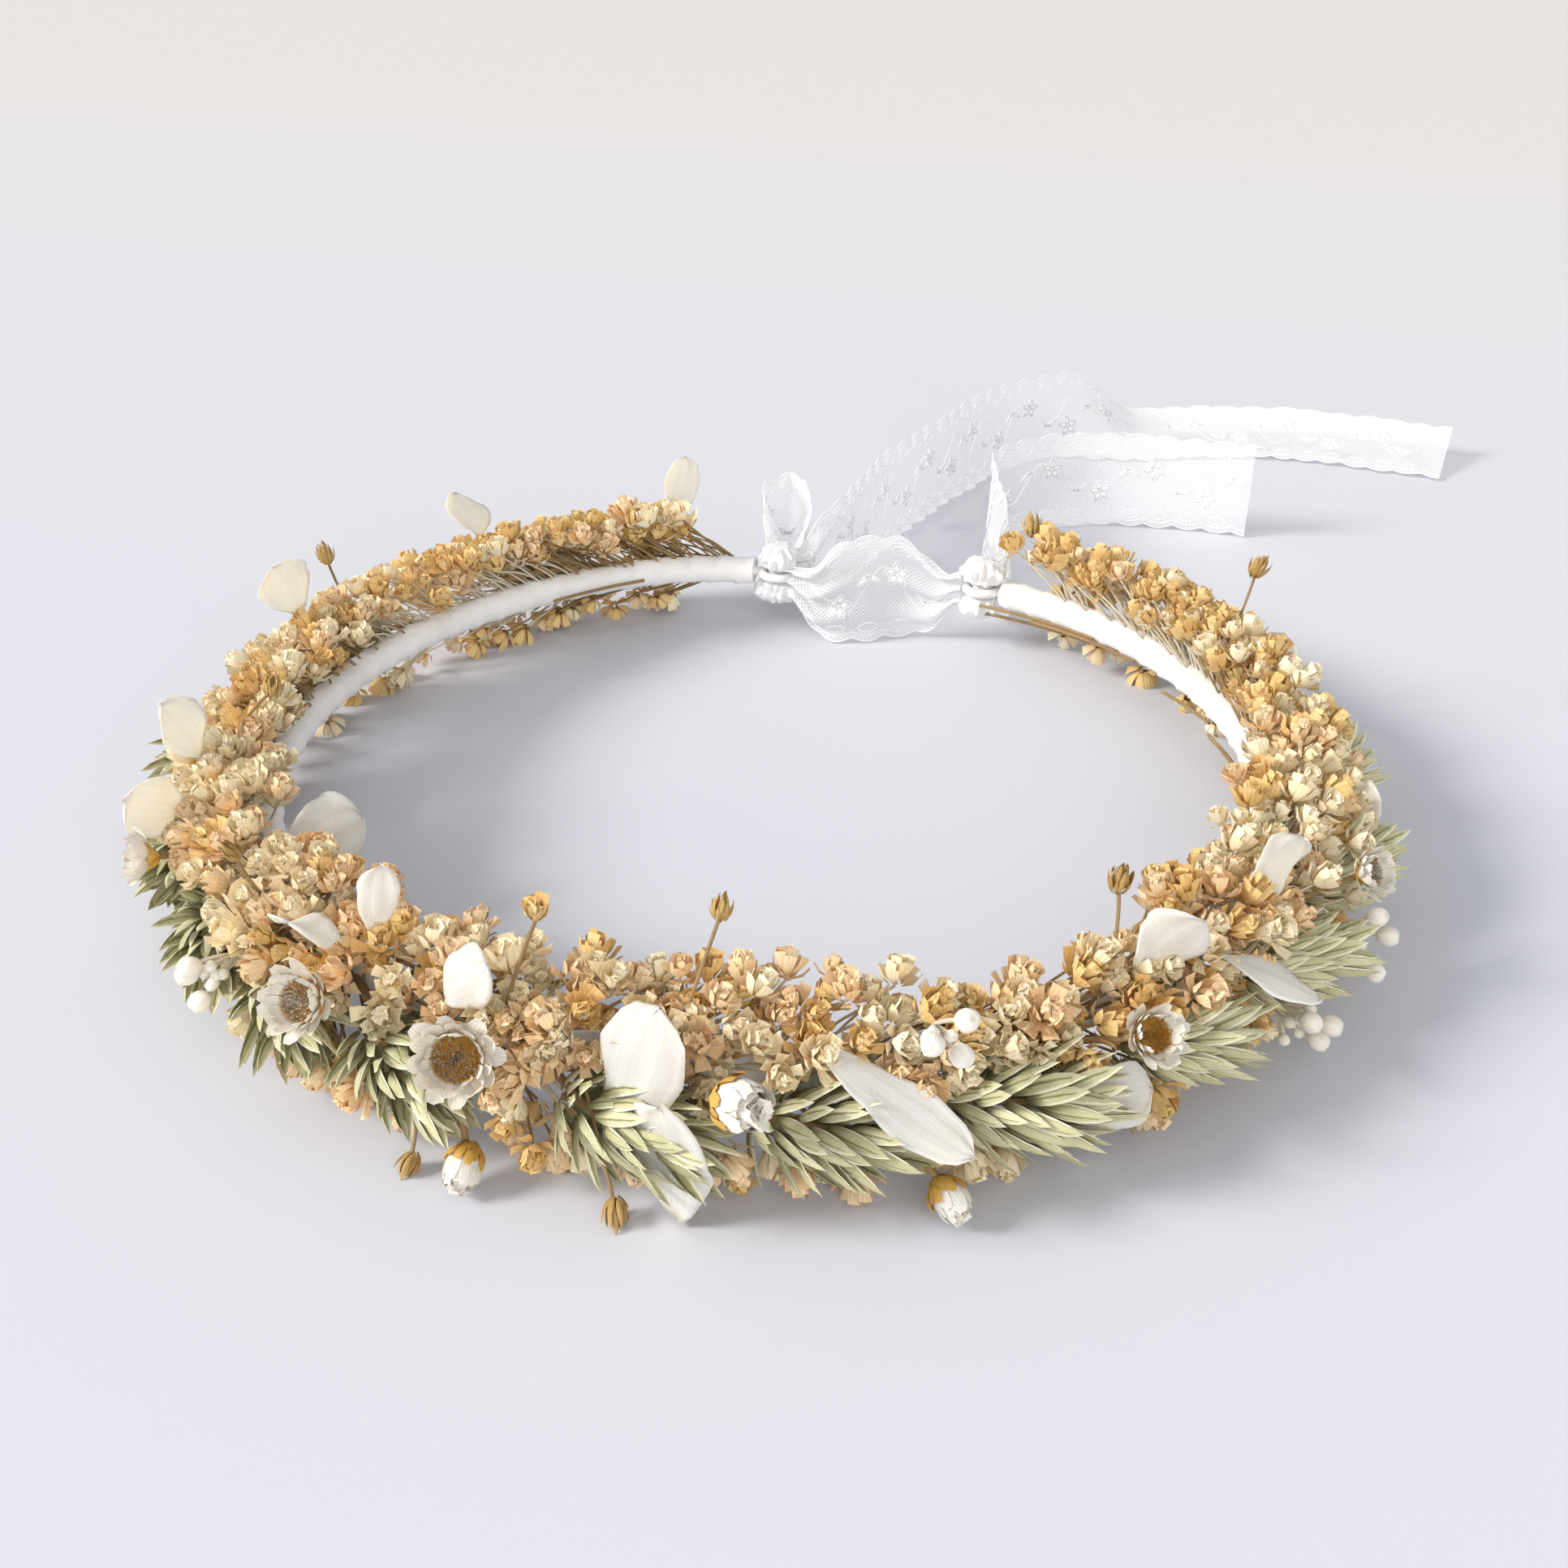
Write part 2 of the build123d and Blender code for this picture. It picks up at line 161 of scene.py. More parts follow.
floor_mesh = bpy.data.meshes.new("floor")
FLOOR = 14
floor_mesh.from_pydata(
    [(-FLOOR, -FLOOR, 0), (FLOOR, -FLOOR, 0), (FLOOR, FLOOR, 0), (-FLOOR, FLOOR, 0)], [], [(0, 1, 2, 3)]
)
floor = bpy.data.objects.new("floor", floor_mesh)
bpy.context.collection.objects.link(floor)
floor_finish = bpy.data.materials.new("pale_floor")
floor_finish.use_nodes = True
floor_shader = floor_finish.node_tree.nodes["Principled BSDF"]
floor_place = floor_finish.node_tree.nodes.new("ShaderNodeTexCoord")
floor_split = floor_finish.node_tree.nodes.new("ShaderNodeSeparateXYZ")
floor_ramp = floor_finish.node_tree.nodes.new("ShaderNodeValToRGB")
floor_ramp.color_ramp.elements[0].color = (0.655, 0.67, 0.735, 1)
floor_ramp.color_ramp.elements[1].color = (0.69, 0.665, 0.64, 1)
floor_finish.node_tree.links.new(floor_place.outputs["Object"], floor_split.inputs[0])
floor_finish.node_tree.links.new(floor_split.outputs["Y"], floor_ramp.inputs["Fac"])
floor_finish.node_tree.links.new(floor_ramp.outputs["Color"], floor_shader.inputs["Base Color"])
floor_shader.inputs["Roughness"].default_value = 0.7
floor_shader.inputs["Specular IOR Level"].default_value = 0.25
floor_mesh.materials.append(floor_finish)
print("camera, two lamps and a floor")

# %% [markdown]
# ## A small net-builder
# Geometry trees and materials are both networks of nodes. This helper adds nodes, feeds their
# sockets and chains arithmetic, so each tree below reads as a short recipe.


# %% Net builder
class Net:
    """Adds nodes to a tree. A value given to a socket is either a number or another socket."""

    def __init__(self, tree):
        self.tree = tree

    def node(self, kind, outlet=0, set=None, **feeds):
        made = self.tree.nodes.new(kind)
        for key, value in (set or {}).items():
            setattr(made, key, value)
        for name, value in feeds.items():
            self.feed(made, name.replace("_", " "), value)
        return made.outputs[outlet] if outlet is not None else made

    def feed(self, made, name, value):
        index = int(name[1:]) if name[0] == "i" and name[1:].isdigit() else None
        socket = made.inputs[index if index is not None else name]
        if isinstance(value, bpy.types.NodeSocket):
            self.tree.links.new(value, socket)
        else:
            socket.default_value = value

    def math(self, operation, a, b=0.0, c=None):
        feeds = {"i0": a, "i1": b}
        if c is not None:
            feeds["i2"] = c
        return self.node("ShaderNodeMath", set={"operation": operation}, **feeds)

    def vector(self, x, y, z):
        return self.node("ShaderNodeCombineXYZ", i0=x, i1=y, i2=z)

    def mix(self, factor, a, b):
        made = self.node("ShaderNodeMix", outlet=None, set={"data_type": "RGBA"})
        self.feed(made, "i0", factor)
        self.feed(made, "i6", a)
        self.feed(made, "i7", b)
        return made.outputs[2]

    def between(self, value, low, high, to_low=0.0, to_high=1.0):
        return self.node(
            "ShaderNodeMapRange", i0=value, i1=low, i2=high, i3=to_low, i4=to_high
        )


def geometry_tree(name, inputs):
    """A geometry tree with named inputs, given as {name: (socket kind, default)}."""
    tree = bpy.data.node_groups.new(name, "GeometryNodeTree")
    tree.interface.new_socket("Geometry", in_out="INPUT", socket_type="NodeSocketGeometry")
    for label, (kind, default) in inputs.items():
        socket = tree.interface.new_socket(label, in_out="INPUT", socket_type="NodeSocket" + kind)
        if default is not None:
            socket.default_value = default
    tree.interface.new_socket("Geometry", in_out="OUTPUT", socket_type="NodeSocketGeometry")
    net = Net(tree)
    return net, tree.nodes.new("NodeGroupInput").outputs, tree.nodes.new("NodeGroupOutput")


def end_tree(net, given, out, geometry):
    """Ends a tree with its instances made real and one material on the result."""
    real = net.node("GeometryNodeRealizeInstances", Geometry=geometry)
    net.feed(out, "Geometry", net.node("GeometryNodeSetMaterial", Geometry=real, Material=given["Material"]))
    return net.tree


def run_tree(tree, start, **values):
    """Runs a geometry tree on a mesh and returns the plain mesh that comes out."""
    holder = bpy.data.objects.new("holder", start)
    bpy.context.collection.objects.link(holder)
    modifier = holder.modifiers.new("tree", "NODES")
    modifier.node_group = tree
    names = {s.name: s.identifier for s in tree.interface.items_tree if s.in_out == "INPUT"}
    for label, value in values.items():
        modifier[names[label.replace("_", " ")]] = value
    shown = holder.evaluated_get(bpy.context.evaluated_depsgraph_get())
    mesh = bpy.data.meshes.new_from_object(shown)
    holder.modifiers.remove(modifier)
    bpy.data.objects.remove(holder)
    mesh.materials.clear()
    mesh.materials.append(values["Material"])
    return mesh


def point_mesh(name, points, edges=(), **attributes):
    """Loose points or lines that carry float or vector attributes for a tree to read."""
    mesh = bpy.data.meshes.new(name)
    mesh.from_pydata(points, edges, [])
    for label, values in attributes.items():
        kind = "FLOAT_VECTOR" if hasattr(values[0], "__len__") else "FLOAT"
        layer = mesh.attributes.new(label, kind, "POINT")
        flat = [x for v in values for x in v] if kind == "FLOAT_VECTOR" else list(values)
        layer.data.foreach_set("vector" if kind == "FLOAT_VECTOR" else "value", flat)
    return mesh


print("net builder ready")

# %% [markdown]
# ## Dry colours
# Dried plants fade unevenly, so one shared effect mottles every plant colour: a broad fade, a fine
# speckle and a different tint for every petal, read from the petal's own `tint` attribute. A second
# one draws the veins or stripes that run along a petal, from its own UV map, whose v goes from foot
# to tip.


# %% Shared shader groups
def shader_group(name, inputs, outputs):
    tree = bpy.data.node_groups.new(name, "ShaderNodeTree")
    for label, (kind, default) in inputs.items():
        socket = tree.interface.new_socket(label, in_out="INPUT", socket_type="NodeSocket" + kind)
        socket.default_value = default
    for label, kind in outputs.items():
        tree.interface.new_socket(label, in_out="OUTPUT", socket_type="NodeSocket" + kind)
    return Net(tree), tree.nodes.new("NodeGroupInput").outputs, tree.nodes.new("NodeGroupOutput")


net, given, out = shader_group(
    "dry_mottle",
    {
        "Light": ("Color", (0.9, 0.85, 0.75, 1)),
        "Dark": ("Color", (0.7, 0.55, 0.35, 1)),
        "Broad scale": ("Float", 140.0),
        "Speckle": ("Float", 0.3),
    },
    {"Color": "Color", "Height": "Float"},
)
place = net.node("ShaderNodeTexCoord", outlet="Object")
tint = net.node("ShaderNodeAttribute", outlet="Fac", set={"attribute_name": "tint"})
broad = net.node("ShaderNodeTexNoise", i0=place, Scale=given["Broad scale"], Detail=3.0)
fine = net.node("ShaderNodeTexNoise", i0=place, Scale=2600.0, Detail=2.0)
fade = net.math("MULTIPLY_ADD", net.between(broad, 0.35, 0.65), 0.45, net.math("MULTIPLY", tint, 0.55))
grain = net.math("MULTIPLY", net.between(fine, 0.5, 0.75), given["Speckle"])
factor = net.math("MINIMUM", net.math("ADD", fade, grain), 1.0)
net.feed(out, "Color", net.mix(factor, given["Light"], given["Dark"]))
net.feed(out, "Height", fine)
dry_mottle = net.tree

net, given, out = shader_group(
    "long_veins",
    {"Count": ("Float", 9.0), "Sharpness": ("Float", 0.5), "Wander": ("Float", 0.06)},
    {"Mask": "Float", "Along": "Float", "Across": "Float"},
)
uv = net.node("ShaderNodeUVMap", set={"uv_map": "UVMap"})
parts = net.node("ShaderNodeSeparateXYZ", outlet=None, i0=uv)
wander = net.math("MULTIPLY", net.node("ShaderNodeTexNoise", i0=uv, Scale=7.0), given["Wander"])
across = net.math("ADD", parts.outputs[0], wander)
wave = net.math("SINE", net.math("MULTIPLY", across, net.math("MULTIPLY", given["Count"], 6.283)))
net.feed(out, "Mask", net.between(wave, given["Sharpness"], 1.0))
net.feed(out, "Along", parts.outputs[1])
net.feed(out, "Across", net.math("ABSOLUTE", net.math("SUBTRACT", parts.outputs[0], 0.5)))
long_veins = net.tree
print("groups", dry_mottle.name, long_veins.name)


# %% [markdown]
# ## Plant finishes
# A petal, a bract and a stalk differ in tint, veins and foot far more than in kind. One factory with
# those as its values makes every plant material, so a change to the dry look reaches them all.


# %% Plant finishes
def new_material(name):
    made = bpy.data.materials.new(name)
    made.use_nodes = True
    net = Net(made.node_tree)
    return made, net, made.node_tree.nodes["Principled BSDF"]


def group(net, tree, **feeds):
    made = net.node("ShaderNodeGroup", outlet=None, set={"node_tree": tree})
    for name, value in feeds.items():
        net.feed(made, name.replace("_", " "), value)
    return made.outputs


def bump(net, shader, height, strength, distance):
    made = net.node("ShaderNodeBump", Height=height, Strength=strength, Distance=distance)
    net.feed(shader, "Normal", made)


def plant(name, light, dark, foot=None, foot_reach=0.3, veins=9.0, vein_colour=None, rough=0.6,
          speckle=0.3, vein_strength=0.5, vein_height=0.8, edge=None, glow=0.15):
    """A dry petal, bract or floret: mottled, veined along its length, darker or greener at its foot."""
    made, net, shader = new_material(name)
    mottle = group(net, dry_mottle, Light=(*light, 1), Dark=(*dark, 1), Speckle=speckle)
    vein = group(net, long_veins, Count=veins)
    colour = mottle["Color"]
    if vein_colour:
        share = net.math("MULTIPLY", vein["Mask"], vein_strength)
        colour = net.mix(share, colour, (*vein_colour, 1))
    if edge:
        colour = net.mix(net.between(vein["Across"], 0.34, 0.47), colour, (*edge, 1))
    if foot:
        colour = net.mix(net.between(vein["Along"], foot_reach, 0.02), colour, (*foot, 1))
    net.feed(shader, "Base Color", colour)
    net.feed(shader, "Roughness", net.between(mottle["Height"], 0.2, 0.8, rough - 0.1, rough + 0.1))
    shader.inputs["Subsurface Weight"].default_value = glow
    shader.inputs["Subsurface Radius"].default_value = (0.0016, 0.0012, 0.0007)
    shader.inputs["Subsurface Scale"].default_value = 1.0
    shader.inputs["Specular IOR Level"].default_value = 0.3
    height = net.math("ADD", mottle["Height"], net.math("MULTIPLY", vein["Mask"], vein_height))
    bump(net, shader, height, 0.5, 0.00012)
    return made


bract_finish = plant("canary_bract", (0.70, 0.66, 0.43), (0.44, 0.43, 0.23), foot=(0.24, 0.23, 0.09),
                     foot_reach=0.35, veins=2.0, vein_colour=(0.17, 0.19, 0.07),
                     edge=(0.92, 0.87, 0.66), vein_strength=0.9)
petal_finish = plant("strawflower_petal", (0.93, 0.91, 0.86), (0.86, 0.79, 0.66),
                     foot=(0.72, 0.46, 0.14), foot_reach=0.25, veins=5.0,
                     vein_colour=(0.80, 0.74, 0.62), vein_strength=0.35, rough=0.42)
disc_finish = plant("strawflower_disc", (0.82, 0.74, 0.62), (0.50, 0.40, 0.30), speckle=0.6, rough=0.8,
                    foot=(0.33, 0.24, 0.16), foot_reach=0.7)
gold_disc_finish = plant("golden_disc", (0.80, 0.50, 0.12), (0.56, 0.28, 0.05), speckle=0.5)
cream_floret_finish = plant("cream_floret", (1.0, 0.92, 0.71), (0.98, 0.80, 0.51),
                            foot=(0.88, 0.66, 0.34), veins=3.0, vein_colour=(0.92, 0.76, 0.50), glow=0.3)
peach_floret_finish = plant("peach_floret", (1.0, 0.83, 0.57), (0.94, 0.65, 0.36),
                            foot=(0.78, 0.50, 0.24), veins=3.0, vein_colour=(0.86, 0.60, 0.34), glow=0.3)
gold_floret_finish = plant("golden_floret", (0.94, 0.73, 0.37), (0.82, 0.53, 0.20),
                           foot=(0.68, 0.42, 0.13), veins=3.0, vein_colour=(0.78, 0.50, 0.18), glow=0.3)
hydrangea_finish = plant("hydrangea_petal", (0.92, 0.86, 0.73), (0.85, 0.75, 0.58),
                         foot=(0.80, 0.70, 0.48), foot_reach=0.12, veins=7.0,
                         vein_colour=(0.80, 0.70, 0.54), vein_strength=0.35, vein_height=0.25,
                         rough=0.5, glow=0.6)
stem_finish = plant("dried_stalk", (0.48, 0.33, 0.16), (0.26, 0.16, 0.07), veins=6.0,
                    vein_colour=(0.20, 0.12, 0.05), rough=0.65, glow=0.0)
pale_stem_finish = plant("pale_stalk", (0.86, 0.80, 0.66), (0.70, 0.60, 0.42), rough=0.6, glow=0.0)
berry_finish = plant("white_berry", (0.92, 0.89, 0.82), (0.84, 0.77, 0.64), rough=0.5,
                     speckle=0.12, glow=0.3)
bud_finish = plant("seed_bud", (0.68, 0.47, 0.17), (0.42, 0.25, 0.08), veins=6.0,
                   vein_colour=(0.34, 0.20, 0.06), rough=0.55)
print("plant finishes", len(bpy.data.materials))

# %% [markdown]
# ## Single petals
# Every flower is built from a few kinds of petal, and each kind is one small grid that is pinched to
# the petal's outline, cupped across and curled along its length. The petal's foot is at the origin,
# it grows along +Z, and its outer face looks along +X.


# %% Petal templates
def grid_mesh(name, rows, columns, place):
    """A grid of quads from place(u, v), with u across and v along, both 0 to 1, and its UV map."""
    points = [place(c / columns, r / rows) for r in range(rows + 1) for c in range(columns + 1)]
    stride = columns + 1
    faces = [
        (r * stride + c, r * stride + c + 1, (r + 1) * stride + c + 1, (r + 1) * stride + c)
        for r in range(rows)
        for c in range(columns)
    ]
    mesh = bpy.data.meshes.new(name)
    mesh.from_pydata(points, [], faces)
    layer = mesh.uv_layers.new(name="UVMap")
    for loop in mesh.loops:
        r, c = divmod(loop.vertex_index, stride)
        layer.data[loop.index].uv = (c / columns, r / rows)
    mesh.polygons.foreach_set("use_smooth", [True] * len(mesh.polygons))
    mesh.update()
    return mesh


def petal(name, length, width, rows, columns, outline, cup=0.0, curl=0.0, ripple=0.0, keel=0.0):
    """A petal template. outline(v) is its share of the width; curl bends the tip inwards."""

    def place(u, v):
        side = 2 * u - 1
        half = 0.5 * width * outline(v)
        bend = curl * v
        rise = length * (math.sin(bend) / curl if curl else v)
        back = -length * ((1 - math.cos(bend)) / curl if curl else 0.0)
        out = back - cup * half * side * side + keel * half * (1 - abs(side))
        out += ripple * width * v * math.sin(9 * side + 5 * v)
        return (out * MM, side * half * MM, rise * MM)

    mesh = grid_mesh(name, rows, columns, place)
    made = bpy.data.objects.new(name, mesh)
    templates.objects.link(made)
    return made


templates = bpy.data.collections.new("templates")
bract = petal("bract", 9.4, 2.2, 5, 2, lambda v: math.sin(math.pi * min(1, 0.12 + 0.88 * v)) ** 0.75,
              curl=0.35, keel=0.75)
straw_petal = petal("straw_petal", 4.2, 2.5, 4, 2, lambda v: math.sin(math.pi * (0.14 + 0.78 * v)) ** 0.6,
                    cup=0.3, curl=0.8)
floret_petal = petal("floret_petal", 2.2, 1.6, 2, 2, lambda v: 0.35 + 0.75 * v - 0.25 * v**4,
                     cup=0.35, curl=1.1, ripple=0.12)
disc_peg = petal("disc_peg", 0.7, 0.55, 1, 2, lambda v: 1 - 0.5 * v, cup=1.2)

# %% [markdown]
# ## Whorls
# Bracts of a grass head, petals of a strawflower and florets of a disc all sit on a spiral that
# turns by the golden angle. One tree grows them all: the count, the length of the axis, the radius
# along it, and how far each petal leans out at the foot and at the tip of the axis are its inputs.

# %% Whorl tree
net, given, out = geometry_tree(
    "whorl",
    {
        "Petal": ("Object", None),
        "Count": ("Int", 40),
        "Rise": ("Float", 0.012),
        "Radius foot": ("Float", 0.002),
        "Radius tip": ("Float", 0.001),
        "Bulge": ("Float", 0.0),
        "Lean foot": ("Float", 0.8),
        "Lean tip": ("Float", 0.2),
        "Size foot": ("Float", 1.0),
        "Size tip": ("Float", 1.0),
        "Untidy": ("Float", 0.15),
        "Tint shift": ("Float", 0.0),
        "Seed": ("Int", 1),
        "Material": ("Material", None),
    },
)
GOLDEN_ANGLE = math.pi * (3 - math.sqrt(5))
line = net.node("GeometryNodeMeshLine", Count=given["Count"])
index = net.node("GeometryNodeInputIndex")
t = net.math("DIVIDE", index, given["Count"])
turn = net.math("MULTIPLY", index, GOLDEN_ANGLE)


def untidy(low, high, offset):
    seed = net.math("ADD", given["Seed"], offset)
    made = net.node("FunctionNodeRandomValue", outlet=None, set={"data_type": "FLOAT"})
    net.feed(made, "i2", low)
    net.feed(made, "i3", high)
    net.feed(made, "Seed", seed)
    return made.outputs[1]


def from_foot(foot, tip):
    return net.math("MULTIPLY_ADD", t, net.math("SUBTRACT", given[tip], given[foot]), given[foot])


belly = net.math("MULTIPLY", net.math("SINE", net.math("MULTIPLY", t, math.pi)), given["Bulge"])
radius = net.math("ADD", from_foot("Radius foot", "Radius tip"), belly)
spot = net.vector(
    net.math("MULTIPLY", radius, net.math("COSINE", turn)),
    net.math("MULTIPLY", radius, net.math("SINE", turn)),
    net.math("MULTIPLY", t, given["Rise"]),
)
placed_line = net.node("GeometryNodeSetPosition", i0=line, Position=spot)
sway = net.math("MULTIPLY", untidy(-1.0, 1.0, 7), given["Untidy"])
lean = net.math("ADD", from_foot("Lean foot", "Lean tip"), sway)
twist = net.math("MULTIPLY", untidy(-1.0, 1.0, 19), given["Untidy"])
rotation = net.node("FunctionNodeEulerToRotation", i0=net.vector(twist, lean, turn))
size = net.math("MULTIPLY", from_foot("Size foot", "Size tip"), untidy(0.86, 1.14, 31))
source = net.node("GeometryNodeObjectInfo", outlet="Geometry", Object=given["Petal"])
grown = net.node(
    "GeometryNodeInstanceOnPoints", Points=placed_line, Instance=source, Rotation=rotation, Scale=size
)
tinted = net.node(
    "GeometryNodeStoreNamedAttribute", set={"data_type": "FLOAT", "domain": "INSTANCE"},
    Geometry=grown, Name="tint", Value=net.math("ADD", untidy(0.0, 1.0, 43), given["Tint shift"]),
)
whorl_tree = end_tree(net, given, out, tinted)
print("whorl tree inputs", len(given) - 1)

# %% [markdown]
# ## Scattering and stalks
# A bouquet is many small flowers, each facing its own way. The `scatter` tree puts a template on
# every point of a mesh, turned to the point's `facing`. The `stalks` tree turns drawn lines into
# thin round stalks, thickest at the foot.

# %% Scatter and stalk trees
net, given, out = geometry_tree(
    "scatter",
    {
        "Flower": ("Object", None),
        "Size": ("Float", 1.0),
        "Seed": ("Int", 1),
        "Material": ("Material", None),
    },
)


def named(label, kind="FLOAT"):
    return net.node("GeometryNodeInputNamedAttribute", set={"data_type": kind}, Name=label)


source = net.node("GeometryNodeObjectInfo", outlet="Geometry", Object=given["Flower"])
turned = net.node(
    "FunctionNodeAlignRotationToVector", set={"axis": "Z"}, Vector=named("facing", "FLOAT_VECTOR")
)
spin = net.node("FunctionNodeRandomValue", outlet=None, set={"data_type": "FLOAT"}, Seed=given["Seed"])
net.feed(spin, "i3", 6.283)
spun = net.node("FunctionNodeEulerToRotation", i0=net.vector(0.0, 0.0, spin.outputs[1]))
rotation = net.node(
    "FunctionNodeRotateRotation", set={"rotation_space": "LOCAL"}, i0=turned, i1=spun
)
grown = net.node(
    "GeometryNodeInstanceOnPoints", Points=given["Geometry"], Instance=source, Rotation=rotation,
    Scale=net.math("MULTIPLY", named("size"), given["Size"]),
)
shifted = net.node(
    "GeometryNodeStoreNamedAttribute", set={"data_type": "FLOAT", "domain": "INSTANCE"},
    Geometry=grown, Name="shift", Value=named("shade"),
)
real = net.node("GeometryNodeRealizeInstances", Geometry=shifted)
mixed = net.math("MULTIPLY_ADD", named("tint"), 0.4, net.math("MULTIPLY", named("shift"), 0.6))
shaded = net.node(
    "GeometryNodeStoreNamedAttribute", set={"data_type": "FLOAT", "domain": "POINT"},
    Geometry=real, Name="tint", Value=mixed,
)
finished = net.node("GeometryNodeSetMaterial", Geometry=shaded, Material=given["Material"])
net.feed(out, "Geometry", finished)
scatter_tree = net.tree

net, given, out = geometry_tree(
    "stalks",
    {
        "Radius": ("Float", 0.0003),
        "Sides": ("Int", 5),
        "Material": ("Material", None),
    },
)
lines = net.node("GeometryNodeMeshToCurve", Mesh=given["Geometry"])
thick = net.node("GeometryNodeSetCurveRadius", Curve=lines, Radius=named("thick"))
ring = net.node("GeometryNodeCurvePrimitiveCircle", Resolution=given["Sides"], Radius=given["Radius"])
tube = net.node("GeometryNodeCurveToMesh", Curve=thick, Profile_Curve=ring, Fill_Caps=True)
smooth = net.node("GeometryNodeSetShadeSmooth", Geometry=tube)
stalk_tree = end_tree(net, given, out, smooth)
print("scatter and stalk trees ready")


# %% [markdown]
# ## From mesh to piece
# A flower is several meshes joined into one, because one piece is easier to move and to count. The
# helper that finishes a piece also says what it rides on: a flower that reaches the soft front of the
# ring is left where it stands, on no body, and every other one follows its own half.


# %% Piece helpers
def whorl(template, material, **values):
    start = bpy.data.meshes.new("start")
    return run_tree(whorl_tree, start, Petal=template, Material=material, **values)


def moved(mesh, origin, axis, spin=0.0, size=1.0):
    """Moves a mesh that grows along +Z to its place on the crown."""
    turn = axis.to_track_quat("Z", "Y").to_matrix().to_4x4()
    mesh.transform(
        Matrix.Translation(origin) @ turn @ Matrix.Rotation(spin, 4, "Z") @ Matrix.Scale(size, 4)
    )
    return mesh


def template_of(name, meshes):
    """A joined mesh as a template object for the scatter tree."""
    made = bpy.data.objects.new(name, joined(name, meshes))
    templates.objects.link(made)
    return made


def joined(name, meshes):
    """Joins plain meshes into one, keeping their materials, UV map and tint."""
    work = bmesh.new()
    materials = []
    for mesh in meshes:
        if "tint" not in mesh.attributes:
            layer = mesh.attributes.new("tint", "FLOAT", "POINT")
            layer.data.foreach_set("value", [0.4] * len(mesh.vertices))
        if "UVMap" not in mesh.uv_layers:
            mesh.uv_layers.new(name="UVMap")
        remap = []
        for material in mesh.materials:
            if material not in materials:
                materials.append(material)
            remap.append(materials.index(material))
        if remap:
            mesh.polygons.foreach_set(
                "material_index", [remap[min(p.material_index, len(remap) - 1)] for p in mesh.polygons]
            )
        work.from_mesh(mesh)
    result = bpy.data.meshes.new(name)
    work.to_mesh(result)
    work.free()
    for material in materials:
        result.materials.append(material)
    result.polygons.foreach_set("use_smooth", [True] * len(result.polygons))
    for label in ("facing", "size", "shade", "shift", "thick"):
        if label in result.attributes:
            result.attributes.remove(result.attributes[label])
    return result


FLEX_REACH = 12 * MM     # the ring bends this far each side of its front


def piece(name, meshes, body, slot, *nodes):
    """Makes a finished piece from meshes: it rides on its body and stands for its CAD nodes."""
    made = bpy.data.objects.new(name, joined(name, meshes))
    bpy.context.collection.objects.link(made)
    if nodes:
        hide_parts(*nodes)
    near = [v.co.x for v in made.data.vertices if v.co.y < -0.5 * ring_radius]
    if body in ("left_half", "right_half") and near and min(abs(x) for x in near) < FLEX_REACH:
        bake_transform(made)
    else:
        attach(made, body)
    return made


def half(name):
    return "left_half" if "left" in name else "right_half"


def bent_line(start, end, leave, steps=6):
    """Points on a soft curve from start, leaving in a direction, to end."""
    reach = (end - start).length
    knee = start + leave * reach * 0.5
    return [
        (1 - t) ** 2 * start + 2 * t * (1 - t) * knee + t**2 * end
        for t in (i / steps for i in range(steps + 1))
    ]


def stalks(lines, radius, material, taper=0.6):
    points, edges, thick = [], [], []
    for line in lines:
        first = len(points)
        points += [tuple(p) for p in line]
        edges += [(first + i, first + i + 1) for i in range(len(line) - 1)]
        thick += [1 - (1 - taper) * i / (len(line) - 1) for i in range(len(line))]
    start = point_mesh("lines", points, edges, thick=thick)
    return run_tree(stalk_tree, start, Radius=radius, Material=material)


print("piece helpers ready")

# %% [markdown]
# ## Canary grass
# A head of canary grass is an oval of keeled bracts, pale at the edges with two green stripes, that
# overlap like tiles and stand off a little at the tip. Each head leans out from the ring the same way.

# %% Canary grass heads
nodes = sorted(frame["nodes"])
grass_nodes = [n for n in nodes if n.startswith("canary_grass")]
dice = random.Random(11)
grass_axes = {}
for number, node in enumerate(grass_nodes):
    centre = middle(node)
    azimuth = azimuth_of(centre)
    axis = heading(azimuth, 1.0, 0.42 + dice.uniform(-0.12, 0.12), dice.uniform(-0.16, 0.1))
    head = whorl(
        bract, bract_finish, Count=84, Rise=16.0 * MM, Radius_foot=1.3 * MM, Radius_tip=0.5 * MM,
        Bulge=2.0 * MM, Lean_foot=1.1, Lean_tip=0.32, Size_foot=0.8, Size_tip=1.08, Untidy=0.3,
        Seed=number + 1,
    )
    foot = centre - axis * 11.5 * MM
    moved(head, foot, axis, dice.uniform(0, 6.28), dice.uniform(1.0, 1.14))
    stem = bent_line(around(azimuth - 13, 2.4, 0.8), foot + axis * 4 * MM, heading(azimuth - 13, 1, 0.3, 0))
    core = stalks([stem, [foot + axis * t * 16 * MM for t in (0, 0.5, 1)]], 0.6 * MM, stem_finish)
    piece(node.replace("canary_grass", "grass_head"), [head, core], half(node), "canary_grass", node)
    grass_axes[node] = (foot, axis)
print("grass heads", len(grass_nodes))

# %% [markdown]
# ## Strawflowers
# What look like a strawflower's petals are papery bracts. An open one shows its disc of speckled
# florets; a closed one folds its bracts over, with golden ones at the foot.


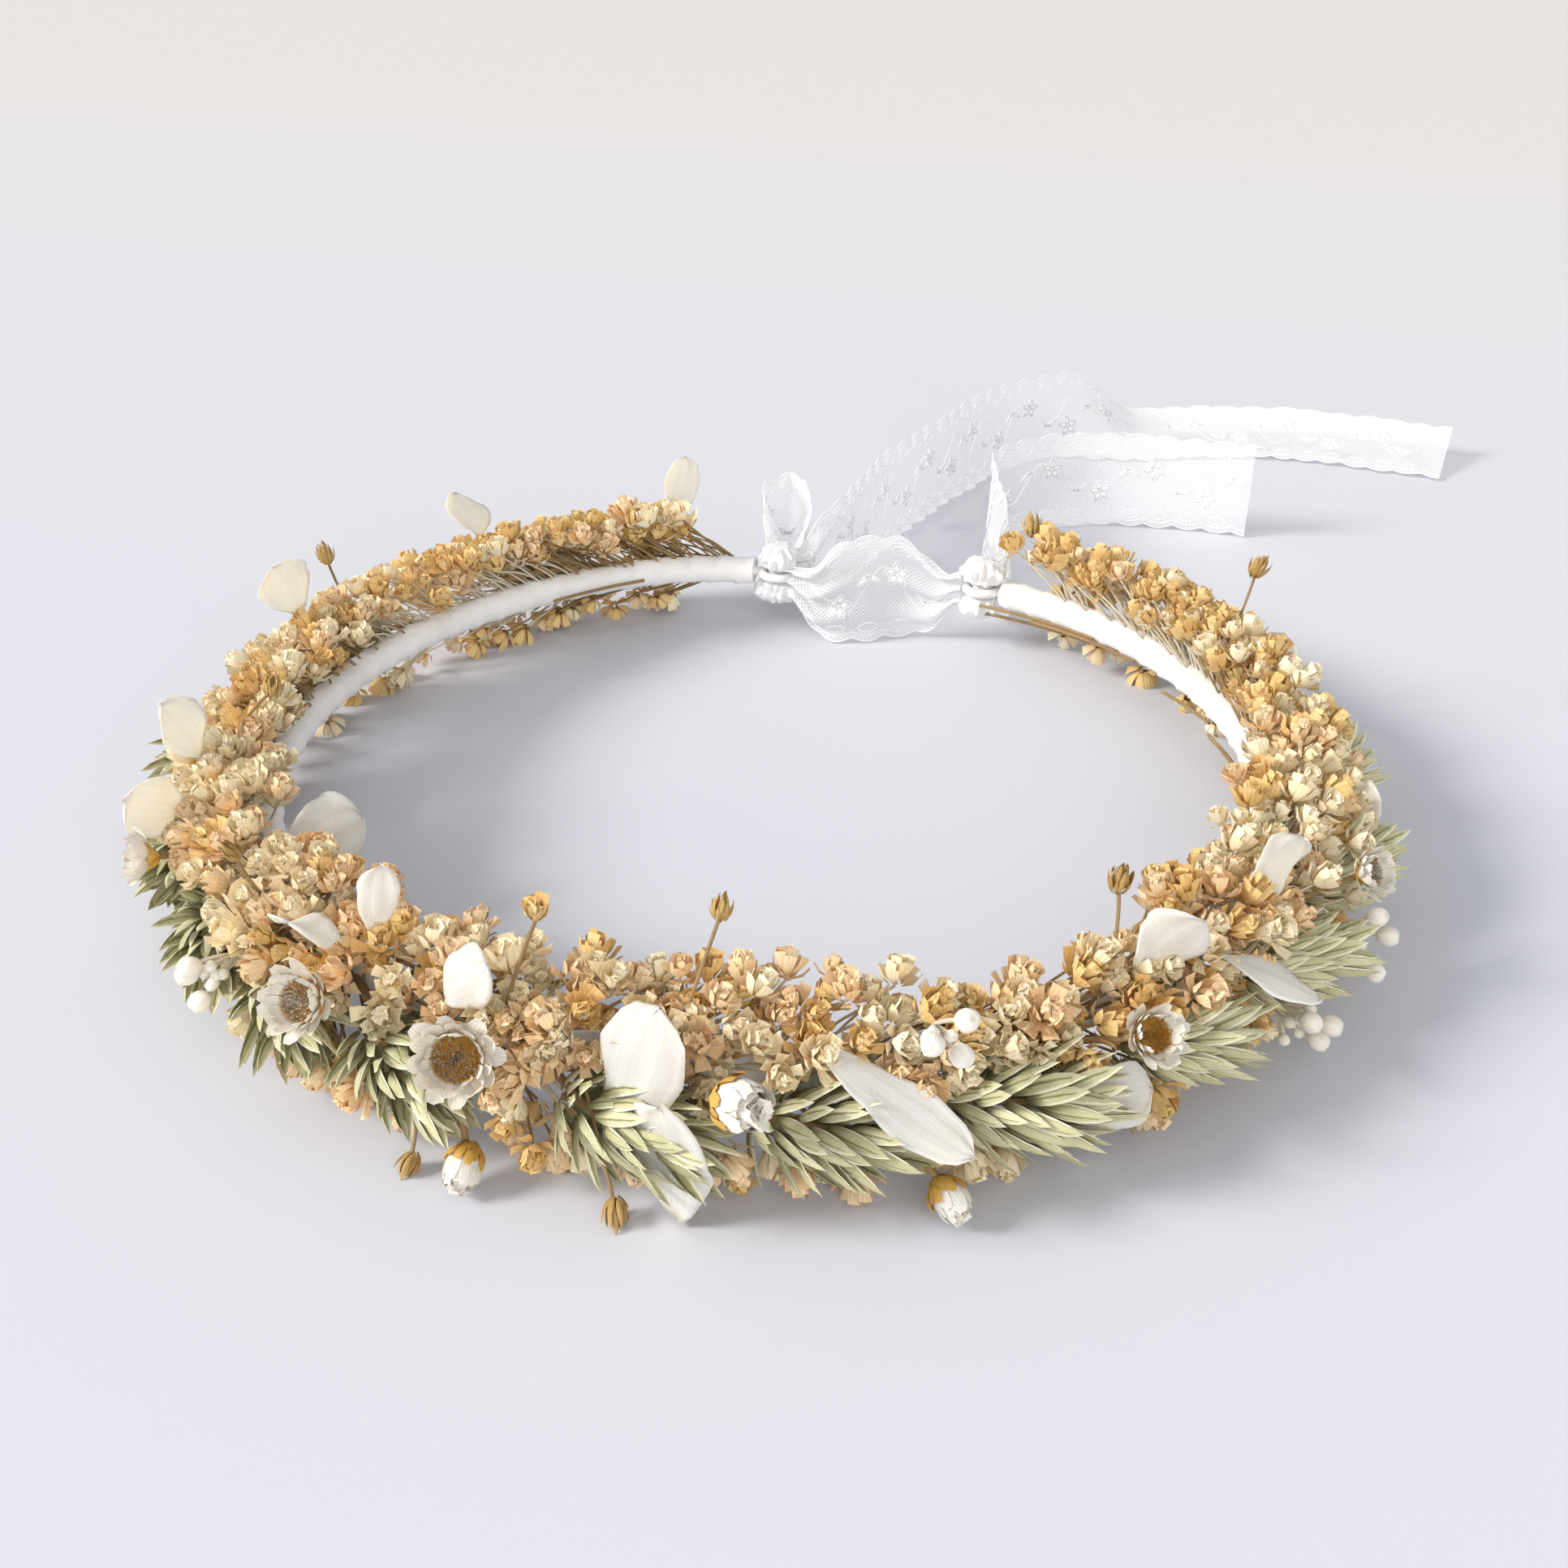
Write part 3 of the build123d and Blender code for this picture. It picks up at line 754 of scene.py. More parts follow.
# %% Strawflowers
def open_strawflower(origin, axis, reach, seed, disc):
    scale = reach / 6.0
    outer = whorl(straw_petal, petal_finish, Count=34, Rise=1.6 * MM, Radius_foot=2.5 * MM,
                  Radius_tip=2.7 * MM, Lean_foot=1.3, Lean_tip=0.45, Size_foot=1.0, Size_tip=0.6,
                  Untidy=0.12, Seed=seed)
    florets = whorl(disc_peg, disc, Count=120, Rise=0.8 * MM, Radius_foot=3.0 * MM,
                    Radius_tip=0.1 * MM, Lean_foot=0.3, Lean_tip=0.0, Size_foot=1.0, Size_tip=0.9,
                    Untidy=0.2, Seed=seed + 5)
    florets.transform(Matrix.Translation((0, 0, 1.1 * MM)))
    calyx = whorl(straw_petal, gold_disc_finish, Count=20, Rise=1.8 * MM, Radius_foot=0.6 * MM,
                  Radius_tip=2.3 * MM, Lean_foot=1.2, Lean_tip=0.75, Size_foot=0.5, Size_tip=0.62,
                  Untidy=0.1, Seed=seed + 9)
    calyx.transform(Matrix.Translation((0, 0, -1.9 * MM)))
    return [moved(m, origin, axis, size=scale) for m in (outer, florets, calyx)]


def closed_strawflower(origin, axis, reach, seed):
    scale = reach / 6.0
    bowl = whorl(straw_petal, petal_finish, Count=46, Rise=2.6 * MM, Radius_foot=2.7 * MM,
                 Radius_tip=0.3 * MM, Bulge=0.8 * MM, Lean_foot=0.5, Lean_tip=-0.15, Size_foot=1.15,
                 Size_tip=1.15, Untidy=0.07, Seed=seed)
    calyx = whorl(straw_petal, gold_disc_finish, Count=26, Rise=2.2 * MM, Radius_foot=0.5 * MM,
                  Radius_tip=3.2 * MM, Lean_foot=1.3, Lean_tip=0.6, Size_foot=0.55, Size_tip=0.7,
                  Untidy=0.12, Seed=seed + 3)
    calyx.transform(Matrix.Translation((0, 0, -2.2 * MM)))
    return [moved(m, origin, axis, size=scale) for m in (bowl, calyx)]


# name of the node: (lean along, outward, up; reach in mm; disc), chosen flower by flower
open_flowers = {
    "strawflower_open_left_1": ((0.35, 0.85, 0.55), 7.0, disc_finish),
    "strawflower_open_left_2": ((0.15, 0.85, 0.55), 6.4, disc_finish),
    "strawflower_open_left_3": ((-0.1, 0.9, 0.3), 5.4, gold_disc_finish),
    "strawflower_open_right_1": ((-0.1, 0.8, 0.6), 5.4, gold_disc_finish),
    "strawflower_open_right_2": ((-0.3, 0.85, 0.5), 5.0, disc_finish),
}
closed_flowers = {
    "strawflower_closed_right": ((0.75, 0.75, 0.35), 6.4),
    "strawflower_low_left": ((0.1, 0.85, -0.6), 5.0),
    "strawflower_low_right": ((0.35, 0.85, -0.5), 4.8),
}
flower_spots = []
for number, (node, (lean, reach, disc)) in enumerate(open_flowers.items()):
    origin = middle(node)
    azimuth = azimuth_of(origin)
    parts = open_strawflower(origin, heading(azimuth, *lean), reach, 60 + number, disc)
    stem = bent_line(around(azimuth - 8, 2.5, 1.5), origin, heading(azimuth - 8, 0.8, 0.6, 0.2))
    parts.append(stalks([stem], 0.55 * MM, stem_finish))
    piece(node.replace("strawflower", "flower"), parts, half(node), "strawflower", node)
    flower_spots.append((origin, reach * MM))
for number, (node, (lean, reach)) in enumerate(closed_flowers.items()):
    origin = middle(node)
    azimuth = azimuth_of(origin)
    parts = closed_strawflower(origin, heading(azimuth, *lean), reach, 80 + number)
    stem = bent_line(around(azimuth - 8, 2.5, -0.5), origin, heading(azimuth - 8, 0.8, 0.6, 0))
    parts.append(stalks([stem], 0.55 * MM, stem_finish))
    piece(node.replace("strawflower", "flower"), parts, half(node), "strawflower", node)
    flower_spots.append((origin, reach * MM))
print("strawflowers", len(flower_spots))

# %% [markdown]
# ## Gypsophila
# Dried gypsophila is a mass of crumpled double florets about 5 mm across, cream to gold, each on a
# hair-thin stalk. A few floret templates are grown as whorls, and each bunch scatters them over the
# ring's top, outside and underside, wherever no larger flower is in the way.

# %% Floret templates
florets = {}
for label, finish, seeds in (
    ("cream", cream_floret_finish, (1, 2)),
    ("peach", peach_floret_finish, (3, 4)),
    ("gold", gold_floret_finish, (5, 6)),
):
    florets[label] = [
        template_of(
            f"{label}_floret_{seed}",
            [whorl(floret_petal, finish, Count=24, Rise=1.7 * MM, Radius_foot=0.6 * MM,
                   Radius_tip=0.1 * MM, Bulge=0.3 * MM, Lean_foot=1.5, Lean_tip=0.0,
                   Size_foot=1.0, Size_tip=0.8, Untidy=0.3, Seed=seed)],
        )
        for seed in seeds
    ]
print("floret templates", {k: len(v) for k, v in florets.items()})


# %% [markdown]
# ## Filling a bunch
# Florets could be placed by hand, but a bunch has up to a hundred. Places are drawn at random instead,
# from a fixed seed, and one too close to a larger flower or to another floret is thrown away.


# %% Gypsophila bunches
# the middles of the broad petals that stand in the open, which no floret covers
petal_spots = [
    around(-82.5, 15.5, 7.0), around(-82.0, 15.5, 13.0), around(-79.5, 17.0, -2.0),
    around(-66.0, 15.0, 8.0), around(-62.5, 17.5, 3.0), around(-32.0, 16.0, 7.0),
    around(-47.0, 15.0, -3.0), around(-110.5, 12.5, 17.5), around(-135.0, -5.0, 8.0),
]

# between these azimuths at the back the ribbon loop needs room to swing
RIBBON_ROOM = (75.0, 119.0)


def too_close(point, taken, gap):
    for foot, axis in grass_axes.values():
        t = max(0.0, min(20 * MM, (point - foot).dot(axis)))
        if (point - foot - axis * t).length < 6.0 * MM:
            return True
    if any((point - spot).length < reach + 1.5 * MM for spot, reach in flower_spots):
        return True
    if any((point - spot).length < 6.5 * MM for spot in petal_spots):
        return True
    return any((point - other).length < gap for other in taken)


def bunch_of_florets(centre_azimuth, spread, count, mix, seed):
    """Chooses places for the florets of one bunch and returns their meshes and stalks."""
    dice = random.Random(seed)
    taken, lines = [], []
    chosen = {key: [] for key in mix}
    tries = 0
    while len(taken) < count and tries < count * 25:
        tries += 1
        azimuth = centre_azimuth + dice.uniform(-spread, spread)
        if RIBBON_ROOM[0] < azimuth < RIBBON_ROOM[1]:
            continue
        top = 82 if -60 < azimuth < -33 else 116
        slope = math.radians(dice.choice((dice.uniform(-62, top), dice.uniform(20, top - 12))))
        reach = dice.uniform(7.5, 15.5 - 2.5 * max(0.0, math.sin(slope)))
        outward, up = reach * math.cos(slope), reach * math.sin(slope)
        up = max(up, -10.8 + dice.uniform(0, 1))
        point = around(azimuth, outward, up)
        if too_close(point, taken, 3.3 * MM):
            continue
        facing = heading(
            azimuth, dice.uniform(-0.3, 0.7), math.cos(slope) + dice.uniform(-0.4, 0.4),
            math.sin(slope) + dice.uniform(-0.3, 0.5),
        )
        key = dice.choices(list(mix), list(mix.values()))[0]
        chosen[key].append((point, facing, dice.uniform(1.0, 1.75), dice.random()))
        taken.append(point)
        root = around(azimuth - dice.uniform(5, 9), 2.2 * math.cos(slope), 2.2 * math.sin(slope))
        lines.append(bent_line(root, point, heading(azimuth, 0.9, math.cos(slope), math.sin(slope))))
    meshes = []
    for key, spots in chosen.items():
        for variant, template in enumerate(florets[key]):
            part = spots[variant :: len(florets[key])]
            if part:
                points, facings, sizes, shades = zip(*part)
                start = point_mesh(
                    "florets", [tuple(p) for p in points], facing=[tuple(f) for f in facings],
                    size=sizes, shade=shades,
                )
                meshes.append(
                    run_tree(scatter_tree, start, Flower=template, Size=1.0, Seed=seed + variant,
                             Material=template.data.materials[0])
                )
    meshes.append(stalks(lines, 0.22 * MM, pale_stem_finish if seed % 2 else stem_finish))
    return meshes


# the colours change round the ring: (share of cream, peach, gold) by node
colour_mix = {
    "gypsophila_left_1": (3, 5, 3),
    "gypsophila_left_2": (5, 6, 1),
    "gypsophila_left_3": (5, 3, 3),
    "gypsophila_left_4": (3, 2, 6),
    "gypsophila_left_5": (3, 2, 6),
    "gypsophila_right_1": (4, 5, 2),
    "gypsophila_right_2": (3, 4, 4),
    "gypsophila_right_3": (6, 2, 3),
    "gypsophila_right_4": (4, 1, 6),
    "gypsophila_right_5": (2, 1, 6),
}
for number, (node, shares) in enumerate(colour_mix.items()):
    mix = dict(zip(("cream", "peach", "gold"), shares))
    azimuth = azimuth_of(middle(node))
    meshes = bunch_of_florets(azimuth, 16.5, 100, mix, 200 + number)
    piece(node.replace("gypsophila", "gypsophila_bunch"), meshes, half(node), "gypsophila", node)
print("gypsophila bunches", len(colour_mix))

# %% [markdown]
# ## Hydrangea petals
# Pressed hydrangea petals are broad, thin and nearly see-through, with fine veins and a wavy rim.
# There are few of them and each is large, so each is grown as its own grid, with its own size,
# place and facing, and then given a thin wall.


# %% Hydrangea petals
def broad_petal(width, height, seed):
    """A broad petal with its foot at the origin: cupped, rippled at the rim and curled at the tip."""
    dice = random.Random(seed)
    cup, curl = dice.uniform(0.02, 0.2), dice.uniform(0.2, 0.6) * dice.choice((1, -1))
    phase = dice.uniform(0, 6.28)
    rows, columns = 14, 12

    def outline(v):
        jag = 1 + 0.035 * math.sin(17 * v + phase) + 0.02 * math.sin(31 * v)
        return 1.2 * (0.02 + v) ** 0.55 * max(0.0, 1 - v**3.4) ** 0.62 * jag

    def place(u, v):
        side = 2 * u - 1
        half = 0.6 * width * outline(v)
        bend = curl * v
        rise = height * math.sin(bend) / curl
        out = -height * (1 - math.cos(bend)) / curl - cup * half * side * side
        out += 0.075 * width * abs(side) ** 1.5 * math.sin(7.5 * v + phase + 1.5 * side)
        out += 0.02 * width * math.sin(9 * side + phase) * v
        return (out * MM, side * half * MM, rise * MM)

    return grid_mesh("broad_petal", rows, columns, place)


def walled(mesh, thickness):
    """Gives a thin sheet its thickness and closes its rim."""
    holder = bpy.data.objects.new("holder", mesh)
    bpy.context.collection.objects.link(holder)
    wall = holder.modifiers.new("wall", "SOLIDIFY")
    wall.thickness = thickness
    wall.offset = 0
    shown = holder.evaluated_get(bpy.context.evaluated_depsgraph_get())
    result = bpy.data.meshes.new_from_object(shown)
    bpy.data.objects.remove(holder)
    return result


# by node: (azimuth, outward, up of the foot in mm, width, height, growth, outer face), the last two
# as along, outward and up
hydrangea = {
    "hydrangea_petals_left_1": [
        (-111.5, 8.5, 16.0, 10.5, 10.5, (0.3, 0.9, 0.25), (0.1, -0.2, 1)),
        (-107.5, 6.0, 15.0, 6.0, 10.0, (0.15, -0.1, 1), (0.7, 0.7, 0)),
        (-98.5, 10.0, 12.0, 9.0, 10.5, (0.6, 0.2, 0.75), (-0.3, 0.9, 0.2)),
    ],
    "hydrangea_petals_left_2": [
        (-136.0, -2.0, 4.0, 12.0, 13.5, (0.2, -0.95, 0.3), (0.9, 0.2, 0.3)),
        (-149.5, 8.5, 12.5, 11.5, 11.5, (0.1, 0.3, 1), (-0.4, 0.9, 0)),
        (-143.0, 12.5, 9.0, 11.0, 12.0, (0.7, 0.5, 0.5), (-0.4, 0.8, 0.3)),
    ],
    "hydrangea_petals_left_3": [
        (-183.0, 8.5, 14.0, 11.5, 11.0, (0.2, 0.5, 0.9), (-0.4, 0.9, 0)),
        (-212.0, 7.0, 13.5, 12.0, 12.0, (-0.1, 0.6, 0.8), (0.3, 0.8, -0.4)),
        (-240.0, 6.0, 11.0, 9.0, 13.5, (-0.2, 0.3, 1), (0.2, 0.9, 0)),
    ],
    "hydrangea_petals_right_1": [
        (-84.2, 14.0, -5.0, 13.5, 25.0, (0.2, 0.06, 1), (-0.5, 0.86, 0.1)),
        (-79.4, 16.5, -13.2, 13.0, 23.0, (0.02, 0.05, 1), (-0.4, 0.9, 0.1)),
        (-68.5, 11.0, 11.5, 8.0, 24.0, (0.85, 0.42, -0.62), (0.25, 0.6, 0.75)),
    ],
    "hydrangea_petals_right_2": [
        (-48.0, 12.5, -12.0, 13.5, 14.0, (0.15, 0.3, 1), (-0.4, 0.9, 0)),
        (-33.0, 10.5, 9.5, 8.5, 17.0, (0.65, 0.75, -0.25), (0.3, 0.3, 0.9)),
        (-41.0, 8.0, 11.0, 11.0, 12.0, (0.6, 0.25, 0.7), (-0.3, 0.9, 0)),
        (-50.0, 15.0, -2.0, 10.0, 12.5, (0.8, 0.4, 0.2), (-0.2, 0.9, 0.3)),
    ],
    "hydrangea_petals_right_3": [
        (1.0, 12.0, -3.0, 9.0, 13.0, (0.3, 0.4, 0.9), (0.6, 0.8, 0)),
        (32.0, 10.5, -2.0, 9.5, 14.0, (0.2, 0.5, 0.85), (0.5, 0.8, 0)),
        (-24.0, 8.0, 10.0, 11.0, 11.5, (0.5, 0.1, 0.85), (-0.3, 0.9, 0)),
    ],
}
for number, (node, petals) in enumerate(hydrangea.items()):
    meshes = []
    for place_in_group, (azimuth, outward, up, width, height, growth, face) in enumerate(petals):
        grow, out_face = heading(azimuth, *growth), heading(azimuth, *face)
        across = grow.cross(out_face).normalized()
        turn = Matrix((across.cross(grow), across, grow)).transposed().to_4x4()
        mesh = broad_petal(width, height, 10 * number + place_in_group)
        mesh.transform(Matrix.Translation(around(azimuth, outward, up)) @ turn)
        mesh = walled(mesh, 0.12 * MM)
        mesh.materials.append(hydrangea_finish)
        meshes.append(mesh)
    piece(node.replace("hydrangea", "veined"), meshes, half(node), "hydrangea_petal", node)
print("hydrangea petals", sum(len(p) for p in hydrangea.values()))

# %% [markdown]
# ## White berries and seed buds
# The berries are bleached and slightly lumpy, each with a small scar at its end, on pale branching
# stalks. The seed buds are brown and wrapped in small bracts, and stand out on long stalks of their
# own.


# %% Berries and buds
def closed_up(mesh, gap):
    """Merges the seam and the poles of a turned mesh and points its faces outwards."""
    work = bmesh.new()
    work.from_mesh(mesh)
    bmesh.ops.remove_doubles(work, verts=work.verts, dist=gap)
    bmesh.ops.recalc_face_normals(work, faces=work.faces)
    work.to_mesh(mesh)
    work.free()
    return mesh


def lumpy_ball(radius, dent, seed):
    """A ball of revolution with uneven sides and a puckered scar at its far end."""
    dice = random.Random(seed)
    phases = [dice.uniform(0, 6.28) for _ in range(3)]
    rows, columns = 10, 14

    def place(u, v):
        a, b = 2 * math.pi * u, math.pi * v
        lump = 1 + 0.05 * math.sin(3 * a + phases[0]) * math.sin(b) ** 2
        lump += 0.035 * math.sin(5 * a + phases[1] + 4 * v) * math.sin(b) ** 2
        lump -= dent * max(0.0, (v - 0.82) / 0.18) ** 2
        reach = radius * lump
        return (
            reach * math.sin(b) * math.cos(a) * MM,
            reach * math.sin(b) * math.sin(a) * MM,
            -1.16 * reach * math.cos(b) * MM,
        )

    return closed_up(grid_mesh("ball", rows, columns, place), 0.01 * MM)


# by node: (azimuth, outward and up of the fork, branches as along, outward, up)
sprays = {
    "white_berries_left": (-121.8, 13.0, 3.0, [(1.6, 9.0, 3.0), (-1.8, 8.6, -0.5), (0.4, 8.2, -4.4)]),
    "white_berries_right_1": (-60.6, 12.0, 14.2, [(1.6, 7.5, 1.0), (-2.6, 8.2, 4.0), (2.4, 6.4, 5.6)]),
    "white_berries_right_2": (-25.6, 13.0, -5.4, [(1.2, 9.6, 0.6), (-2.6, 8.0, 2.6), (2.6, 7.6, -4.0)]),
    "white_berries_right_3": (-13.5, 12.6, -4.2, [(1.6, 10.0, 1.8), (-2.0, 9.6, -3.0), (0.2, 8.0, 5.6)]),
}
BERRY = 1.6
for number, (node, (azimuth, outward, up, branches)) in enumerate(sprays.items()):
    dice = random.Random(number)
    fork = around(azimuth, outward, up)
    root = around(azimuth - 6, 2.6, 0.4 if up < 5 else 2.0)
    lines, meshes = [bent_line(root, fork, heading(azimuth, 0.8, 0.6, 0.1))], []
    small = [
        (a * dice.uniform(0.3, 0.7) + dice.uniform(-3, 3), o * dice.uniform(0.35, 0.8),
         u * 0.5 + dice.uniform(-2.5, 2.5), 0.55)
        for a, o, u in branches * 2
    ]
    for along, out_by, rise, share in [(*b, 1.0) for b in branches] + small:
        way = heading(azimuth, along, out_by, rise)
        reach = Vector((along, out_by, rise)).length * MM
        end = fork + way * reach
        lines.append(bent_line(fork, end, heading(azimuth, along * 0.4, out_by, rise + 3)))
        meshes.append(moved(lumpy_ball(BERRY * share, 0.35, len(lines) + 10 * number), end, way))
        meshes[-1].materials.append(berry_finish)
    meshes.append(stalks(lines, 0.32 * MM, pale_stem_finish))
    piece(node.replace("white_berries", "berry_spray"), meshes, half(node), "white_berry", node)

# by node: (azimuth, lean of the stalk as along, outward, up, length in mm, size of the bud)
buds = {
    "seed_buds_left": [
        (-93.2, (0.1, 0.16, 1.0), 21.5, 1.0),
        (-99.2, (-0.1, 0.9, -0.62), 19.0, 0.8),
        (-122.0, (0.1, 0.5, 0.86), 23.0, 0.8),
        (-154.0, (0.1, -0.2, 1.0), 19.0, 0.9),
        (-189.0, (0.1, 0.3, 0.95), 21.0, 0.9),
    ],
    "seed_buds_right": [
        (-78.6, (0.12, -0.18, 1.0), 21.0, 0.85),
        (-86.6, (0.3, 0.95, -0.66), 19.0, 0.95),
        (-41.5, (0.05, 0.1, 1.0), 20.0, 0.95),
        (37.5, (0.1, 0.6, 0.8), 22.5, 1.0),
        (66.2, (0.5, 0.55, 0.75), 15.0, 1.1),
    ],
}
for number, (node, group_of_buds) in enumerate(buds.items()):
    meshes, lines = [], []
    for order, (azimuth, lean, length, size) in enumerate(group_of_buds):
        is_floret = node == "seed_buds_left" and order == 0
        way = heading(azimuth, *lean)
        top = around(azimuth) + way * (length + 2.5) * MM
        lines.append(bent_line(around(azimuth - 3, 2.2, 0.5), top, heading(azimuth, 0.2, 0.5, 0.7), 8))
        if is_floret:
            star = whorl(floret_petal, gold_floret_finish, Count=18, Rise=1.6 * MM,
                         Radius_foot=0.4 * MM, Radius_tip=0.2 * MM, Lean_foot=1.1, Lean_tip=0.3,
                         Size_foot=1.5, Size_tip=1.2, Untidy=0.3, Seed=9)
            meshes.append(moved(star, top, way))
            continue
        cup = whorl(bract, bud_finish, Count=20, Rise=1.6 * MM, Radius_foot=0.3 * MM,
                    Radius_tip=0.9 * MM, Bulge=0.5 * MM, Lean_foot=0.75, Lean_tip=-0.1,
                    Size_foot=0.26, Size_tip=0.36, Untidy=0.12, Seed=300 + order)
        cup.transform(Matrix.Translation((0, 0, -1.6 * MM)))
        meshes.append(moved(cup, top, way, size=1.15 * size))
    meshes.append(stalks(lines, 0.3 * MM, stem_finish))
    piece(node.replace("seed_buds", "long_buds"), meshes, half(node), "seed_bud", node)
print("berry sprays", len(sprays), "and buds", sum(len(b) for b in buds.values()))

# %% [markdown]
# ## The white tape
# Stretchy floral tape is wound round the stems with each turn lapping the last, which leaves a low
# spiral ridge. The tape is one piece that follows the ring from back end to back end, without a gap
# at the ring's soft joint at the front, and it is left where it stands, on no body. Its tree sweeps a
# circle along the line and lifts it by a saw-tooth of the distance along and the turn round.

# %% Tape tree
LEFT_BEND = -234.0            # azimuth where the left end starts to curl inwards
LEFT_BEND_RADIUS = 48 * MM
LEFT_TURN = 31.0              # how far that curl turns, in degrees
RIGHT_END = 71.5              # azimuth where the tape stops on the right


def ring_line(step=2.0):
    """The bound ring's centreline from the left back end to the right back end."""
    inset = ring_radius - LEFT_BEND_RADIUS
    a = math.radians(LEFT_BEND)
    centre = Vector((inset * math.cos(a), inset * math.sin(a), ring_height))
    points = []
    turn = LEFT_TURN
    while turn > 0:
        b = math.radians(LEFT_BEND - turn)
        points.append(centre + Vector((math.cos(b), math.sin(b), 0)) * LEFT_BEND_RADIUS)
        turn -= step
    count = round((RIGHT_END - LEFT_BEND) / step)
    for i in range(count + 1):
        points.append(around(LEFT_BEND + (RIGHT_END - LEFT_BEND) * i / count))
    return points


net, given, out = geometry_tree(
    "wound_tape",
    {
        "Radius": ("Float", 0.0029),
        "Pitch": ("Float", 0.006),
        "Lap": ("Float", 0.0004),
        "Sides": ("Int", 28),
        "Spacing": ("Float", 0.0006),
        "Material": ("Material", None),
    },
)
line = net.node("GeometryNodeMeshToCurve", Mesh=given["Geometry"])
line = net.node("GeometryNodeResampleCurve", set={"mode": "LENGTH"}, Curve=line, Length=given["Spacing"])
factor = net.node("GeometryNodeSplineParameter", outlet=None)


def kept(geometry, value):
    made = net.node("GeometryNodeCaptureAttribute", outlet=None, Geometry=geometry)
    made.capture_items.new("FLOAT", "value")
    net.tree.links.new(value, made.inputs[1])
    return made.outputs[0], made.outputs[1]


line, run = kept(line, factor.outputs["Length"])
circle = net.node(
    "GeometryNodeCurvePrimitiveCircle", Resolution=given["Sides"], Radius=given["Radius"]
)
circle, round_share = kept(circle, factor.outputs["Factor"])
swept = net.node("GeometryNodeCurveToMesh", Curve=line, Profile_Curve=circle, Fill_Caps=True)
turns = net.math("ADD", net.math("DIVIDE", run, given["Pitch"]), round_share)
saw = net.math("FRACT", turns)
ridge = net.math("MULTIPLY", net.math("POWER", saw, 3.0), given["Lap"])
out_by = net.node("ShaderNodeVectorMath", set={"operation": "SCALE"},
                  i0=net.node("GeometryNodeInputNormal"), Scale=ridge)
lifted = net.node("GeometryNodeSetPosition", i0=swept, Offset=out_by)
labelled = net.node("GeometryNodeStoreNamedAttribute", set={"data_type": "FLOAT2", "domain": "CORNER"},
                    Geometry=lifted, Name="UVMap", Value=net.vector(turns, saw, 0.0))
smooth = net.node("GeometryNodeSetShadeSmooth", Geometry=labelled)
tape_tree = end_tree(net, given, out, smooth)
print("tape tree ready")

# %% [markdown]
# ## White finishes
# Four whites sit side by side: matt stretchy tape, sheer net, satin embroidery thread and the
# painted wire. They differ in weave and gloss more than in colour. The painted shade line at each
# lap of the tape and the net's mesh are drawn on the piece's own UV map, so they bend with it.

# %% Tape, net, thread, wire and stem finishes
tape_finish, net, shader = new_material("white_tape_finish")
uv = net.node("ShaderNodeUVMap", set={"uv_map": "UVMap"})
parts = net.node("ShaderNodeSeparateXYZ", outlet=None, i0=uv)
place = net.node("ShaderNodeTexCoord", outlet="Object")
crepe = net.node("ShaderNodeTexNoise", i0=place, Scale=1500.0, Detail=4.0)
smudge = net.node("ShaderNodeTexNoise", i0=place, Scale=90.0, Detail=2.0)
colour = net.mix(net.between(smudge, 0.4, 0.7), (0.93, 0.925, 0.91, 1), (0.86, 0.85, 0.83, 1))
# painted shade: a grey line darkens the tape along the step where each turn laps the last
colour = net.mix(net.between(parts.outputs[1], 0.9, 1.0, 0.0, 0.35), colour, (0.72, 0.71, 0.70, 1))
net.feed(shader, "Base Color", colour)
net.feed(shader, "Roughness", net.between(crepe, 0.3, 0.7, 0.62, 0.82))
shader.inputs["Specular IOR Level"].default_value = 0.3
bump(net, shader, crepe, 0.5, 0.00015)

WEAVE = 0.0009


def net_pattern(net):
    """A slanting square net from the UV map, whose units are metres."""
    uv = net.node("ShaderNodeUVMap", set={"uv_map": "UVMap"})
    parts = net.node("ShaderNodeSeparateXYZ", outlet=None, i0=uv)
    lines = []
    for turn in (1.0, -1.0):
        slant = net.math("MULTIPLY_ADD", parts.outputs[1], turn, parts.outputs[0])
        wave = net.math("SINE", net.math("MULTIPLY", slant, math.pi / WEAVE))
        lines.append(net.math("ABSOLUTE", wave))
    return net.math("MINIMUM", *lines)


net_finish, net, shader = new_material("lace_net")
strands = net_pattern(net)
shader.inputs["Base Color"].default_value = (0.93, 0.93, 0.94, 1)
net.feed(shader, "Alpha", net.between(strands, 0.2, 0.5, 0.8, 0.34))
net.feed(shader, "Roughness", net.between(strands, 0.0, 1.0, 0.5, 0.7))
shader.inputs["Sheen Weight"].default_value = 0.3
bump(net, shader, strands, 0.3, 0.0001)

thread_finish, net, shader = new_material("satin_thread")
place = net.node("ShaderNodeTexCoord", outlet="Object")
twist = net.node("ShaderNodeTexNoise", i0=place, Scale=4200.0, Detail=2.0)
net.feed(shader, "Base Color", net.mix(twist, (0.95, 0.95, 0.95, 1), (0.87, 0.87, 0.88, 1)))
net.feed(shader, "Roughness", net.between(twist, 0.3, 0.7, 0.35, 0.55))
shader.inputs["Sheen Weight"].default_value = 0.3
bump(net, shader, twist, 0.4, 0.0001)

